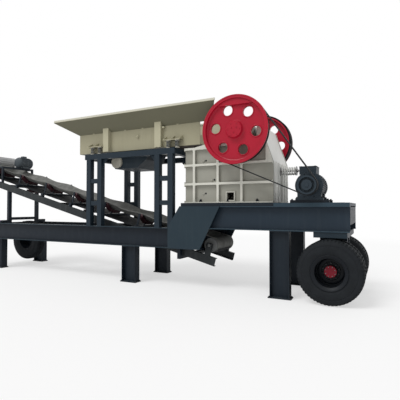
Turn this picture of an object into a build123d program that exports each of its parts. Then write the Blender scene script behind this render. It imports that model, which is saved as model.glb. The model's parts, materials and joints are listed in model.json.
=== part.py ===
"""Jaw crushing plant on a wheeled chassis, in millimetres.

X runs along the chassis, with the road wheels at the +X end and the head of the conveyor at the
-X end. Z is up from the ground, and Y is across, with the belt drive on the -Y side. The origin is
on the ground in the middle of the plant's length and width. Places along the plant are given as
distances ahead of the wheel axle, towards the conveyor's head.
"""
import os
from math import acos, atan2, cos, degrees, pi, radians, sin

from build123d import *

# Road wheels: twin tyres on each side of one axle
tyre_radius = 540
tyre_width = 280
tyre_bore = 255
twin_gap = 40
wheel_face = 905
rim_wall = 10
rim_width = 230
wheel_disc_radius = 246
wheel_disc_thick = 20
hub_radius = 120
hub_length = 260
hub_cap_radius = 98
hub_cap_length = 105
hub_bore_gap = 0.4
spindle_radius = 40
axle_square = 140
axle_square_half = 270
bracket_inner = 150
bracket_outer = 270
bracket_half_length = 230
bracket_bottom = 600
bolster_half_length = 270
bolster_bottom = 1100

# Chassis: a low front frame and a raised rear frame
frame_half = 750
beam_flange = 200
flange_thick = 16
web_thick = 12
low_bottom = 780
low_top = 1195
high_top = 1635
low_front_ahead = 9200
low_rear_ahead = 2420
high_front_ahead = 2865
high_rear_ahead = -310
gusset_thick = 12
gusset_top_rear_ahead = 1988
gusset_left_ahead = 3140
cross_thick = 100
cross_low_height = 90
cross_deep_height = 300
low_cross_aheads = (4150, 5600, 6700, 7600)
deck_top = 1690
deck_front_ahead = 950
deck_plate = 12
deck_rim = 60

# Support legs
leg_length = 350
leg_depth = 175
leg_flange = 14
leg_web = 10
foot_length = 410
foot_depth = 205
foot_thick = 20
rear_leg_ahead = 855
front_leg_ahead = 4150
head_leg_ahead = 8520

# Spare wheel under the front frame
spare_ahead = 8280
spare_height = 700
spare_middle = 60
spare_hub_radius = 90
spare_stud_radius = 20
spare_rail_width = 60
spare_rail_height = 100

# Crusher body
crusher_front_ahead = 2830
crusher_rear_ahead = 1000
crusher_bottom = 1700
crusher_half = 620
side_web = 40
rib_depth = 60
rib_thick = 45
body_front_top = 2815
body_front_top_length = 230
body_rise_ahead = 2370
body_rise_top = 2860
body_seat_top = 2900
body_seat_front_ahead = 1950
row_heights = (2080, 2460)
column_aheads = (2610, 2090, 1600)
rear_slope_bottom = 2460
rear_slope_top = 3180
rear_slope_run = 250
horn_width = 45
pocket_fillet = 22
peephole = 145
peephole_ahead = 1835
peephole_lift = 128
peephole_rim = 25
base_rail_inset = 20
base_rail_width = 270
wall_thick = 50
wall_rib_depth = 40
wall_rib_ys = (-400, -250, 30, 240, 400)
slope_thick = 30

# Eccentric shaft, bearings and the jaws
shaft_ahead = 1610
shaft_lift = 130
shaft_radius = 70
shaft_half = 990
eccentric_radius = 84
eccentric_throw = 12
eccentric_half = 400
bearing_radius = 225
bearing_inner = 470
bearing_outer = 640
bearing_foot_half = 270
bearing_gap = 0.3
pitman_head_radius = 235
pitman_bore_radius = 104
pitman_half = 440
jaw_half = 495
jaw_top = 2830
jaw_bottom = 1850
fixed_jaw_thick = 80
swing_jaw_top_ahead = 2150
swing_jaw_bottom_ahead = 2560
swing_liner_thick = 60
jaw_foot_length = 330
jaw_foot_drop = 60
toggle_half = 300
toggle_thick = 50
toggle_block = 120
toggle_block_height = 2080
toggle_seat_height = 120
cheek_thick = 18
rod_drop = 155
rod_y = -120
rod_radius = 14
rod_end_ahead = 540
rod_seat_ahead = 1760
pitman_back_reach = 60
pitman_back_drop = 180
jaw_lug_half = 40
jaw_lug_length = 300
rod_bush_radius = 42
washer_radius = 86
washer_thick = 14
tension_spring_front_ahead = 965
tension_spring_rear_ahead = 675
tension_spring_radius = 82
spring_sleeve = 10
spring_turns = 7

# Flywheels, belts and the motor's pulley
flywheel_radius = 635
flywheel_face = 970
flywheel_width = 200
flywheel_rim = 62
web_face = 900
web_width = 45
wheel_hub_radius = 145
hub_inner_face = 690
hub_outer_face = 985
hole_radius = 95
hole_circle = 397
hole_count = 6
hole_phase = -8
counterweight_chord = 455
counterweight_thick = 45
belt_count = 5
belt_pitch = 30
belt_width = 22
belt_thick = 16
belt_line = 606
belt_slack = 0.5
belts_middle = 855
groove_margin = 12
pulley_radius = 160
pulley_wall_to_hub = 60
motor_shaft_radius = 35
motor_shaft_gap = 0.3
motor_ahead = 340
motor_height = 1985
motor_radius = 222
motor_front = 735
motor_length = 560
cowl_radius = 215
cowl_length = 190
cowl_gap = 25
shield_radius = 235
shield_thick = 40
bearing_cap_radius = 95
motor_foot_half = 235
motor_foot_thick = 30
motor_foot_length = 90
slide_rail_half = 330
slide_rail_width = 70
slide_rail_ys = (-655, -265)
slide_rail_top = 1740
terminal_box_size = (290, 320, 130)
terminal_box_ahead = 385
terminal_box_y = -400
terminal_box_bottom = 2195

# Feeder trough on its springs
trough_half = 620
trough_front_ahead = 5680
trough_rear_ahead = 2470
trough_bottom = 2875
trough_top = 3335
plate_thick = 12
flare_out = 300
flare_up = 300
flare_rear_ahead = 2020
flare_foot_rear_ahead = 2200
lip_height = 42
lip_thick = 20
pan_rear_ahead = 3300
bar_count = 12
bar_width = 35
bar_depth = 32
stiffener_depth = 90
stiffener_length = 155
stiffener_aheads = (4820, 3425)
spring_bracket_aheads = (5105, 3060)
spring_bracket_length = 400
spring_bracket_lift = 115
spring_bracket_thick = 20
spring_offset = 105
spring_radius = 46
spring_middle = 694
exciter_half = 380
exciter_cover_radius = 145
exciter_cover_thick = 40
exciter_shaft_ahead = 4745
exciter_shaft_drop = 205
exciter_front_reach = 170
exciter_front_corner_drop = 40
exciter_floor_drop = 160
exciter_floor_front_reach = 60
exciter_floor_rear_reach = 560
exciter_knee_reach = 800
exciter_knee_rise = 20
exciter_rear_reach = 860

# Tower that carries the feeder
upright = 120
tower_top = 2835
tower_beam = 120
ladder_width = 440
ladder_front_aheads = (5345, 3475)
rung_bottoms = (2167, 1660)
rung_height = 100
tower_gusset = 150
tower_gusset_thick = 14
tower_overhang = 50

# Belt conveyor
conveyor_angle = 14.7
line_ahead = 2190
line_height = 605
stringer_start = -20
stringer_half = 520
stringer_depth = 165
stringer_flange = 70
stringer_wall = 10
tail_ahead = 2320
pulley_lift = 204
conveyor_length = 7700
belt_pulley_radius = 150
belt_pulley_half = 430
belt_pulley_gap = 4
head_overhang = 60
conveyor_shaft_radius = 30
pulley_bearing_length = 120
pulley_bearing_height = 90
conveyor_belt_half_flat = 150
conveyor_belt_wing = 250
conveyor_belt_thick = 12
trough_angle = 35
trough_lift = 215
transition = 700
idler_pitch = 1020
first_idler = 830
idler_count = 7
idler_foot = 70
idler_bar_bottom = 58
idler_bar_top = 88
roller_radius = 54
roller_gap = 12
roller_pin = 14
roller_end_gap = 0.3
roller_stop = 8
idler_plate = 10
return_roller_half = 420
return_bracket_depth = 12
return_bracket_drop = 40
return_bracket_rise = 12
return_roller_radius = 45
return_roller_pitch = 2100
return_roller_count = 3
tie_starts = (600, 2700, 4800, 6900)
tie_size = 60
post_size = 85
post_outer = 485
post_ahead = 8450
sill_half_length = 720
sill_width = 100
sill_height = 75
hanger_ahead = 2960
hanger_size = 70

# Magnet drum and its motor over the belt
drum_ahead = 9330
drum_lift = 225
drum_radius = 115
drum_half = 360
drum_shaft_radius = 22
portal_aheads = (8700, 9560)
portal_half = 500
portal_bar = 50
portal_top = 2765
drum_stand_half = 80
drum_motor_ahead = 8730
drum_motor_lift = 153
drum_motor_radius = 150
drum_motor_y0 = 20
drum_motor_y1 = 400
drum_motor_foot = 110

# Chute from the crusher to the belt
chute_top_front_ahead = 2755
chute_top_rear_ahead = 2030
chute_bottom_front_ahead = 2750
chute_bottom_rear_ahead = 2230
chute_bottom_half = 270
chute_bottom = 1215
chute_wall = 10

# Heights that follow from what carries each piece
peephole_height = crusher_bottom + peephole_lift
shaft_height = body_seat_top + shaft_lift
exciter_shaft_height = trough_bottom - exciter_shaft_drop
spring_bracket_height = trough_bottom + spring_bracket_lift
rod_height = rear_slope_bottom - rod_drop
base_rail_inner = frame_half - base_rail_inset - base_rail_width
drum_height = portal_top + drum_lift

# The plant's two ends, and the axle's place that puts the origin midway between them
slope = radians(conveyor_angle)
belt_end_reach = belt_pulley_radius + conveyor_belt_thick
head_reach = tail_ahead + conveyor_length * cos(slope) + belt_end_reach
axle_x = (head_reach - tyre_radius) / 2


def at(ahead):
    """X of a place that lies so far ahead of the wheel axle."""
    return axle_x - ahead


def block(x0, x1, y0, y1, z0, z1):
    """A box between two corners."""
    size = (abs(x1 - x0), abs(y1 - y0), abs(z1 - z0))
    return Pos((x0 + x1) / 2, (y0 + y1) / 2, (z0 + z1) / 2) * Box(*size)


def drum_y(radius, y0, y1, x, z):
    """A cylinder that lies across the plant."""
    return Pos(x, (y0 + y1) / 2, z) * Rot(90, 0, 0) * Cylinder(radius, abs(y1 - y0))


def drum_x(radius, x0, x1, y, z):
    """A cylinder that lies along the plant."""
    return Pos((x0 + x1) / 2, y, z) * Rot(0, 90, 0) * Cylinder(radius, abs(x1 - x0))


def upright_drum(radius, x, y, z0, z1):
    """A cylinder that stands upright."""
    return Pos(x, y, (z0 + z1) / 2) * Cylinder(radius, abs(z1 - z0))


def side_plate(points, y0, y1):
    """A plate with the given outline in X and Z, between two places across the plant."""
    face = make_face(Polyline(*points, close=True))
    return extrude(Plane.XZ.offset(-y1).location * face, amount=y1 - y0)


def end_plate(points, x0, x1):
    """A plate with the given outline in Y and Z, between two places along the plant."""
    face = make_face(Polyline(*points, close=True))
    return extrude(Plane.YZ.offset(x0).location * face, amount=x1 - x0)


def sheet_between(a, b, c, d, thick):
    """A flat plate on four corners, thickened towards its normal."""
    wire = Wire.make_polygon([Vector(*a), Vector(*b), Vector(*c), Vector(*d)], close=True)
    return extrude(Face(wire), amount=thick)


def far_side(shape):
    """The same piece on the other side of the plant."""
    return mirror(shape, about=Plane.XZ)


def both(shape):
    """A piece and its mirror image, as two solids."""
    return [shape, far_side(shape)]


def solids(*shapes):
    """All the solids of the given shapes, as one compound."""
    found = []
    for shape in shapes:
        items = shape if isinstance(shape, (list, tuple)) else [shape]
        for item in items:
            found += list(item.solids())
    return Compound(children=[solid for solid in found])


def i_beam(x0, x1, y_outer, y_inner, z0, z1):
    """An I-section beam along the plant."""
    middle = (y_outer + y_inner) / 2
    top = block(x0, x1, y_outer, y_inner, z1 - flange_thick, z1)
    bottom = block(x0, x1, y_outer, y_inner, z0, z0 + flange_thick)
    web = block(x0, x1, middle - web_thick / 2, middle + web_thick / 2, z0, z1)
    return top + bottom + web


def chassis():
    """The two beam pairs, the plates that join them, the cross members and the rear deck."""
    inner = frame_half - beam_flange
    low = i_beam(at(low_front_ahead), at(low_rear_ahead), -frame_half, -inner, low_bottom, low_top)
    high = i_beam(at(high_front_ahead), at(high_rear_ahead), -frame_half, -inner, low_top, high_top)
    outline = [
        (at(high_front_ahead), high_top),
        (at(gusset_top_rear_ahead), high_top),
        (at(low_rear_ahead), low_bottom),
        (at(gusset_left_ahead), low_bottom),
        (at(gusset_left_ahead), low_top + flange_thick),
    ]
    gusset = side_plate(outline, -frame_half - gusset_thick, -frame_half)

    web_line = frame_half - beam_flange / 2 - web_thick / 2
    members = [
        block(at(low_front_ahead), at(low_front_ahead) + cross_thick, -web_line, web_line,
              low_bottom + flange_thick, low_top - flange_thick)
    ]
    for ahead in low_cross_aheads:
        z0 = low_bottom + flange_thick
        members.append(block(at(ahead) - cross_thick / 2, at(ahead) + cross_thick / 2,
                             -web_line, web_line, z0, z0 + cross_low_height))
    deep_top = high_top - flange_thick
    for x in (at(high_front_ahead), at(gusset_top_rear_ahead) + cross_thick,
              at(deck_front_ahead), at(high_rear_ahead) - cross_thick):
        members.append(block(x, x + cross_thick, -web_line, web_line,
                             deep_top - cross_deep_height, deep_top))

    x0 = at(deck_front_ahead)
    x1 = at(high_rear_ahead)
    deck = block(x0, x1, -frame_half, frame_half, high_top, deck_top)
    hollow = deck_top - deck_plate
    half_gap = deck_rim / 2
    middle = (x0 + x1) / 2
    for left, right in ((x0 + deck_rim, middle - half_gap), (middle + half_gap, x1 - deck_rim)):
        deck -= block(left, right, deck_rim - frame_half, frame_half - deck_rim, high_top, hollow)
    return {
        "low_beams": solids(both(low)),
        "high_beams": solids(both(high)),
        "step_gussets": solids(both(gusset)),
        "frame_cross_members": solids(members),
        "rear_deck": deck,
    }


def support_legs():
    """Six H-section legs, each with its foot plate, under the two beam pairs."""
    legs = []
    y_out = -frame_half + 10
    for ahead, top in ((rear_leg_ahead, low_top), (front_leg_ahead, low_bottom),
                       (head_leg_ahead, low_bottom)):
        x = at(ahead)
        half = leg_length / 2
        y_in = y_out + leg_depth
        middle = (y_out + y_in) / 2
        left = block(x - half, x - half + leg_flange, y_out, y_in, foot_thick, top)
        right = block(x + half - leg_flange, x + half, y_out, y_in, foot_thick, top)
        web = block(x - half, x + half, middle - leg_web / 2, middle + leg_web / 2, foot_thick, top)
        foot = block(x - foot_length / 2, x + foot_length / 2, middle - foot_depth / 2,
                     middle + foot_depth / 2, 0, foot_thick)
        cap = block(x - half, x + half, y_out, y_in, top - foot_thick, top)
        legs.append(left + right + web + foot + cap)
    return {"support_legs": solids(legs, [far_side(leg) for leg in legs])}


def tyre(y0, x, z):
    """One tyre: straight sidewalls at the bead, a bulge at the middle and rounded shoulders."""
    half = tyre_width / 2
    bead = rim_width / 2 - 5
    tread = half - 42
    wall_middle = (tyre_bore + tyre_radius) / 2
    shoulder = tyre_radius - 22
    path = Polyline((tyre_bore, bead), (tyre_bore, -bead))
    lower = ThreePointArc((tyre_bore, -bead), (wall_middle, -half), (shoulder, -tread - 10))
    corner = ThreePointArc((shoulder, -tread - 10), (tyre_radius - 6, -tread + 4),
                           (tyre_radius, -tread + 20))
    face_line = Line((tyre_radius, -tread + 20), (tyre_radius, tread - 20))
    far_corner = ThreePointArc((tyre_radius, tread - 20), (tyre_radius - 6, tread - 4),
                               (shoulder, tread + 10))
    upper = ThreePointArc((shoulder, tread + 10), (wall_middle, half), (tyre_bore, bead))
    profile = make_face(path + lower + corner + face_line + far_corner + upper)
    ring = revolve(profile, axis=Axis.Y)
    return Pos(x, y0 + half, z) * ring


def twin_wheels():
    """The near pair of tyres, their rims on one hub, and the hub's cap."""
    z = tyre_radius
    x = at(0)
    outer = -wheel_face
    inner = outer + tyre_width + twin_gap
    tyres = [tyre(outer, x, z), tyre(inner, x, z)]
    joint_y = inner - twin_gap / 2
    disc_half = wheel_disc_thick / 2
    rims = drum_y(wheel_disc_radius, joint_y - disc_half, joint_y + disc_half, x, z)
    for y0 in (outer, inner):
        middle = y0 + tyre_width / 2
        barrel = drum_y(tyre_bore, middle - rim_width / 2, middle + rim_width / 2, x, z)
        barrel -= drum_y(tyre_bore - rim_wall, middle - rim_width / 2 - 1,
                         middle + rim_width / 2 + 1, x, z)
        rims += barrel
        edge = middle + rim_width / 2 if y0 == outer else middle - rim_width / 2
        rims += (drum_y(tyre_bore, min(edge, joint_y), max(edge, joint_y), x, z)
                 - drum_y(tyre_bore - rim_wall, min(edge, joint_y) - 1, max(edge, joint_y) + 1, x, z))
    hub_inner = joint_y + disc_half + hub_length
    rims += drum_y(hub_radius, joint_y, hub_inner, x, z)
    bore_end = joint_y - disc_half - hub_cap_length / 2
    rims -= drum_y(spindle_radius + hub_bore_gap, bore_end, hub_inner + 1, x, z)
    cap_inner = joint_y - disc_half
    cap = drum_y(hub_cap_radius, cap_inner - hub_cap_length, cap_inner, x, z)
    cap -= drum_y(spindle_radius + hub_bore_gap, bore_end, cap_inner + 1, x, z)
    return tyres, rims, cap, bore_end


def running_gear():
    """The axle with its brackets, and a pair of twin wheels on each side."""
    tyres, rims, cap, bore_end = twin_wheels()
    z = tyre_radius
    half = axle_square / 2
    spindle_end = -bore_end - 2 * hub_bore_gap
    axle = block(at(0) - half, at(0) + half, -axle_square_half, axle_square_half, z - half, z + half)
    axle += drum_y(spindle_radius, -spindle_end, spindle_end, at(0), z)
    bracket = block(at(0) - bracket_half_length, at(0) + bracket_half_length,
                    -bracket_outer, -bracket_inner, bracket_bottom - half, bolster_bottom)
    bracket -= block(at(0) - half, at(0) + half, -bracket_outer - 1, -bracket_inner + 1,
                     z - half, z + half)
    bolster = block(at(0) - bolster_half_length, at(0) + bolster_half_length,
                    -frame_half + 20, frame_half - 20, bolster_bottom, low_top)
    return {
        "axle_beam": axle,
        "axle_hangers": bolster + bracket + far_side(bracket),
        "near_tyres": solids(tyres),
        "near_rims": rims,
        "near_hub_cap": cap,
        "far_tyres": solids([far_side(item) for item in tyres]),
        "far_rims": far_side(rims),
        "far_hub_cap": far_side(cap),
    }


def spare_wheel():
    """The spare wheel on a rail between two cross members."""
    x = at(spare_ahead)
    y0 = spare_middle - tyre_width / 2
    middle = spare_middle
    ring = drum_y(tyre_bore, middle - rim_width / 2, middle + rim_width / 2, x, spare_height)
    ring -= drum_y(tyre_bore - rim_wall, middle - rim_width / 2 - 1, middle + rim_width / 2 + 1,
                   x, spare_height)
    disc_y = middle + rim_width / 2 - wheel_disc_thick
    ring += drum_y(tyre_bore - rim_wall / 2, disc_y, disc_y + wheel_disc_thick, x, spare_height)
    ring -= drum_y(spare_hub_radius, disc_y - 1, disc_y + wheel_disc_thick + 1, x, spare_height)
    rail_y = y0 + tyre_width + 10
    front = at(low_front_ahead) + cross_thick
    rear = at(low_cross_aheads[-1]) - cross_thick / 2
    z0 = low_bottom + flange_thick
    rail = block(front, rear, rail_y, rail_y + spare_rail_width, z0, z0 + spare_rail_height)
    arm_half = spare_hub_radius + 40
    rail += block(x - arm_half, x + arm_half, rail_y, rail_y + spare_rail_width / 2,
                  spare_height - arm_half, z0 + 1)
    plate_y = disc_y + wheel_disc_thick
    rail += block(x - arm_half, x + arm_half, plate_y, rail_y, spare_height - arm_half,
                  spare_height + arm_half / 2)
    return {
        "spare_tyre": tyre(y0, x, spare_height),
        "spare_rim": ring,
        "spare_carrier": rail,
    }


def body_outline():
    """The outline of a crusher side in X and Z, without the corner points of its pockets."""
    return [
        (at(crusher_front_ahead), crusher_bottom),
        (at(crusher_rear_ahead), crusher_bottom),
        (at(crusher_rear_ahead), rear_slope_bottom),
        (at(crusher_rear_ahead + rear_slope_run), rear_slope_top),
        (at(crusher_rear_ahead + rear_slope_run + horn_width), rear_slope_top),
        (at(crusher_rear_ahead + rear_slope_run + horn_width), body_seat_top),
        (at(body_seat_front_ahead), body_seat_top),
        (at(body_rise_ahead), body_rise_top),
        (at(crusher_front_ahead - body_front_top_length), body_front_top),
        (at(crusher_front_ahead), body_front_top),
    ]


def side_pockets():
    """The hollows between the ribs of a crusher side."""
    half = rib_thick / 2
    edges = [crusher_front_ahead + half] + list(column_aheads) + [crusher_rear_ahead - half]
    floors = [crusher_bottom] + list(row_heights)
    outlines = []
    for left, right in zip(edges, edges[1:]):
        for low, up in zip(floors, floors[1:]):
            outlines.append((at(left) + half, at(right) - half, low + half, up - half))
        if right >= column_aheads[1]:
            outlines.append((at(left) + half, at(right) - half, floors[-1] + half,
                             body_front_top - rib_thick))
    outlines.append((at(column_aheads[1]) + half, at(crusher_rear_ahead) - rear_slope_run / 2,
                     floors[-1] + half, body_seat_top - 2 * rib_thick))
    cuts = []
    for x0, x1, z0, z1 in outlines:
        pocket = block(x0, x1, -crusher_half - 1, -crusher_half + rib_depth, z0, z1)
        cuts.append(fillet(pocket.edges().filter_by(Axis.Y), pocket_fillet))
    return cuts


def crusher_body():
    """The two ribbed sides, the end walls, the sloped rear plate and the base rails."""
    outer = -crusher_half
    inner = -crusher_half + rib_depth + side_web
    side = side_plate(body_outline(), outer, inner)
    for cut in side_pockets():
        side -= cut
    x = at(peephole_ahead)
    half = peephole / 2
    frame = half + peephole_rim
    side += block(x - frame, x + frame, outer + rib_depth / 2, outer + rib_depth,
                  peephole_height - frame, peephole_height + frame)
    side -= block(x - half, x + half, outer - 1, inner + 1, peephole_height - half,
                  peephole_height + half)

    front = at(crusher_front_ahead)
    wall_x = front + wall_rib_depth
    front_wall = block(wall_x, wall_x + wall_thick, inner, -inner, crusher_bottom, body_front_top)
    rear = at(crusher_rear_ahead)
    rear_wall = block(rear - wall_thick, rear, inner, -inner, crusher_bottom, rear_slope_bottom)
    for y in wall_rib_ys:
        front_wall += block(front, wall_x, y - rib_thick / 2, y + rib_thick / 2,
                            crusher_bottom, body_front_top)
        rear_wall += block(rear, rear + wall_rib_depth, y - rib_thick / 2, y + rib_thick / 2,
                           crusher_bottom, rear_slope_bottom)
    rear_wall -= drum_x(rod_radius * 2, rear - wall_thick - 1, rear + wall_rib_depth + 1,
                        rod_y, rod_height)
    lean = [
        (rear, rear_slope_bottom),
        (rear - rear_slope_run, rear_slope_top),
        (rear - rear_slope_run - slope_thick, rear_slope_top),
        (rear - slope_thick, rear_slope_bottom),
    ]
    rear_slope = side_plate(lean, inner, -inner)
    rail = block(front - base_rail_inset, rear + wall_rib_depth,
                 -frame_half + base_rail_inset, -base_rail_inner,
                 high_top, crusher_bottom)
    return {
        "crusher_sides": solids(both(side)),
        "crusher_end_walls": solids(front_wall, rear_wall + rear_slope),
        "crusher_base_rails": solids(both(trim_to_deck(rail))),
    }


def trim_to_deck(rail):
    """A base rail cut off where the rear deck begins."""
    x0 = at(deck_front_ahead)
    cut = block(x0, x0 + 10 * cross_thick, -frame_half, 0, high_top - 1, crusher_bottom + 1)
    return rail - cut


def hull_prism(x0, z0, r0, x1, z1, r1, y0, y1):
    """A prism around two circles and the two lines that touch both."""
    length = ((x1 - x0) ** 2 + (z1 - z0) ** 2) ** 0.5
    line = atan2(z1 - z0, x1 - x0)
    spread = acos((r0 - r1) / length)
    ends = []
    for turn in (spread, -spread):
        a = line + turn
        ends.append(((x0 + r0 * cos(a), z0 + r0 * sin(a)), (x1 + r1 * cos(a), z1 + r1 * sin(a))))
    band = side_plate([ends[0][0], ends[0][1], ends[1][1], ends[1][0]], y0, y1)
    return band + drum_y(r0, y0, y1, x0, z0) + drum_y(r1, y0, y1, x1, z1)


def jaws():
    """The swinging jaw on its eccentric, the wear plates, and the rod and spring that hold it."""
    x = at(shaft_ahead)
    z = shaft_height
    swing_top = (at(swing_jaw_top_ahead), jaw_top)
    swing_bottom = (at(swing_jaw_bottom_ahead), jaw_bottom)
    body = side_plate([
        swing_top,
        (x, z + pitman_head_radius * 0.9),
        (x + pitman_head_radius * 0.9, z),
        (x + pitman_back_reach, jaw_top - pitman_back_drop),
        (at(swing_jaw_bottom_ahead) + jaw_foot_length, jaw_bottom + 2 * toggle_seat_height),
        (at(swing_jaw_bottom_ahead) + jaw_foot_length, jaw_bottom - jaw_foot_drop),
        (at(swing_jaw_bottom_ahead) + jaw_foot_drop, jaw_bottom - jaw_foot_drop),
        swing_bottom,
    ], -pitman_half, pitman_half)
    body += drum_y(pitman_head_radius, -pitman_half, pitman_half, x, z)
    body -= drum_y(pitman_bore_radius, -pitman_half - 1, pitman_half + 1, x, z)
    lug = jaw_lug_half
    body += block(at(rod_seat_ahead) - jaw_lug_length, at(rod_seat_ahead), rod_y - lug, rod_y + lug,
                  rod_height - lug, rod_height + lug)

    liner = side_plate([
        swing_top,
        swing_bottom,
        (swing_bottom[0] - swing_liner_thick, swing_bottom[1]),
        (swing_top[0] - swing_liner_thick, swing_top[1]),
    ], -jaw_half + 30, jaw_half - 30)
    wall = at(crusher_front_ahead) + wall_rib_depth + wall_thick
    fixed = block(wall, wall + fixed_jaw_thick, -jaw_half, jaw_half, jaw_bottom, jaw_top - 40)
    side_inner = crusher_half - rib_depth - side_web
    cheek_x0 = wall + 5
    cheek = side_plate([
        (cheek_x0, jaw_bottom),
        (cheek_x0, jaw_top - 60),
        (swing_top[0] - swing_liner_thick, jaw_top - 60),
        (swing_bottom[0] - swing_liner_thick, jaw_bottom),
    ], -side_inner, -side_inner + cheek_thick)

    rod_end = at(rod_end_ahead)
    rod = drum_x(rod_radius, at(rod_seat_ahead), rod_end, rod_y, rod_height)
    front = at(tension_spring_front_ahead)
    back = at(tension_spring_rear_ahead)
    for x0 in (front - washer_thick, back):
        rod += drum_x(washer_radius, x0, x0 + washer_thick, rod_y, rod_height)
    rod += drum_x(rod_radius * 2, back + washer_thick, back + 3 * washer_thick, rod_y, rod_height)
    rod += drum_x(rod_bush_radius, at(crusher_rear_ahead), front, rod_y, rod_height)
    return {
        "swing_jaw": body,
        "jaw_liners": solids(liner, fixed),
        "cheek_plates": solids(both(cheek)),
        "tension_rod": rod,
        "tension_spring": coil_x(front, back),
    }


def coil_x(x0, x1):
    """A spring along the plant, as close rings on a thin sleeve."""
    sleeve = rod_radius * 2
    shape = drum_x(sleeve + spring_sleeve, x0, x1, rod_y, rod_height)
    pitch = (x1 - x0) / spring_turns
    for turn in range(spring_turns):
        start = x0 + pitch * turn + pitch * 0.25
        shape += drum_x(tension_spring_radius, start, start + pitch * 0.5, rod_y, rod_height)
    return shape - drum_x(sleeve, x0 - 1, x1 + 1, rod_y, rod_height)


def coil_z(x, y, z0, z1):
    """An upright spring, as close rings on a thin core."""
    shape = upright_drum(spring_radius - 2 * spring_sleeve, x, y, z0, z1)
    turns = spring_turns - 2
    pitch = (z1 - z0) / turns
    for turn in range(turns):
        start = z0 + pitch * turn + pitch * 0.2
        shape += upright_drum(spring_radius, x, y, start, start + pitch * 0.6)
    return shape


def bearings():
    """The two housings of the eccentric shaft, on the seats of the crusher's sides."""
    x = at(shaft_ahead)
    foot = block(x - bearing_foot_half, x + bearing_foot_half - horn_width, -bearing_outer,
                 -bearing_inner, body_seat_top, shaft_height)
    housing = foot + drum_y(bearing_radius, -bearing_outer, -bearing_inner, x, shaft_height)
    reach = 2 * bearing_radius
    housing -= block(x - reach, x + reach, -bearing_outer - 1, -bearing_inner + 1,
                     body_seat_top - reach, body_seat_top)
    housing -= drum_y(shaft_radius + bearing_gap, -bearing_outer - 1, -bearing_inner + 1,
                      x, shaft_height)
    return {"bearing_housings": solids(both(housing))}


def plain_flywheel():
    """The near flywheel without belt grooves: rim, web with round holes, hub and weight."""
    x = at(shaft_ahead)
    z = shaft_height
    back = -flywheel_face + flywheel_width
    wheel = drum_y(flywheel_radius, -flywheel_face, back, x, z)
    wheel -= drum_y(flywheel_radius - flywheel_rim, -flywheel_face - 1, back + 1, x, z)
    web_back = -web_face + web_width
    wheel += drum_y(flywheel_radius - flywheel_rim / 2, -web_face, web_back, x, z)
    weight = drum_y(flywheel_radius - flywheel_rim / 2, -web_face - counterweight_thick, -web_face, x, z)
    weight -= block(x - flywheel_radius, x + flywheel_radius, -flywheel_face, 0,
                    z - flywheel_radius, z + counterweight_chord)
    wheel += weight
    wheel += drum_y(wheel_hub_radius, -hub_outer_face, -hub_inner_face, x, z)
    for k in range(hole_count):
        a = radians(hole_phase + 360 / hole_count * k)
        wheel -= drum_y(hole_radius, -web_face - 1, web_back + 1, x + hole_circle * cos(a),
                        z + hole_circle * sin(a))
    wheel -= drum_y(shaft_radius, -shaft_half + 20, 0, x, z)
    return wheel


def belt_ys():
    """The middles of the belts across the plant."""
    first = -belts_middle - belt_pitch * (belt_count - 1) / 2
    return [first + belt_pitch * k for k in range(belt_count)]


def drive():
    """The two flywheels on their shaft, the belts, and the pulley on the motor's shaft."""
    x = at(shaft_ahead)
    z = shaft_height
    grooved = plain_flywheel()
    ys = belt_ys()
    edge = belt_width / 2 + groove_margin
    zone = drum_y(flywheel_radius + 1, ys[0] - edge, -flywheel_face + flywheel_width + 1, x, z)
    zone -= drum_y(belt_line - belt_slack, ys[0] - edge - 1, -flywheel_face + flywheel_width + 2, x, z)
    grooved -= zone

    shaft = drum_y(shaft_radius, -shaft_half + 20, shaft_half - 20, x, z)
    shaft += drum_y(eccentric_radius, -eccentric_half, eccentric_half, x + eccentric_throw, z)

    px = at(motor_ahead)
    pz = motor_height
    loops = []
    for y in ys:
        y0 = y - belt_width / 2
        y1 = y + belt_width / 2
        outer = hull_prism(x, z, belt_line + belt_thick, px, pz, pulley_radius + belt_thick, y0, y1)
        inner = hull_prism(x, z, belt_line, px, pz, pulley_radius, y0 - 1, y1 + 1)
        loops.append(outer - inner)

    y_front = ys[0] - edge
    y_back = ys[-1] + edge
    pulley = drum_y(pulley_radius - belt_slack, y_front, y_back, px, pz)
    pulley -= drum_y(pulley_radius - pulley_wall_to_hub / 2, y_front - 1, y_front + pulley_wall_to_hub,
                     px, pz)
    pulley += drum_y(pulley_radius - pulley_wall_to_hub * 1.2, y_front, y_back, px, pz)
    pulley += drum_y(motor_shaft_radius, y_front - 10, -motor_front - motor_shaft_gap, px, pz)
    return {
        "near_flywheel": grooved,
        "far_flywheel": far_side(plain_flywheel()),
        "eccentric_shaft": shaft,
        "drive_belts": solids(loops),
        "motor_pulley": pulley,
    }


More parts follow.
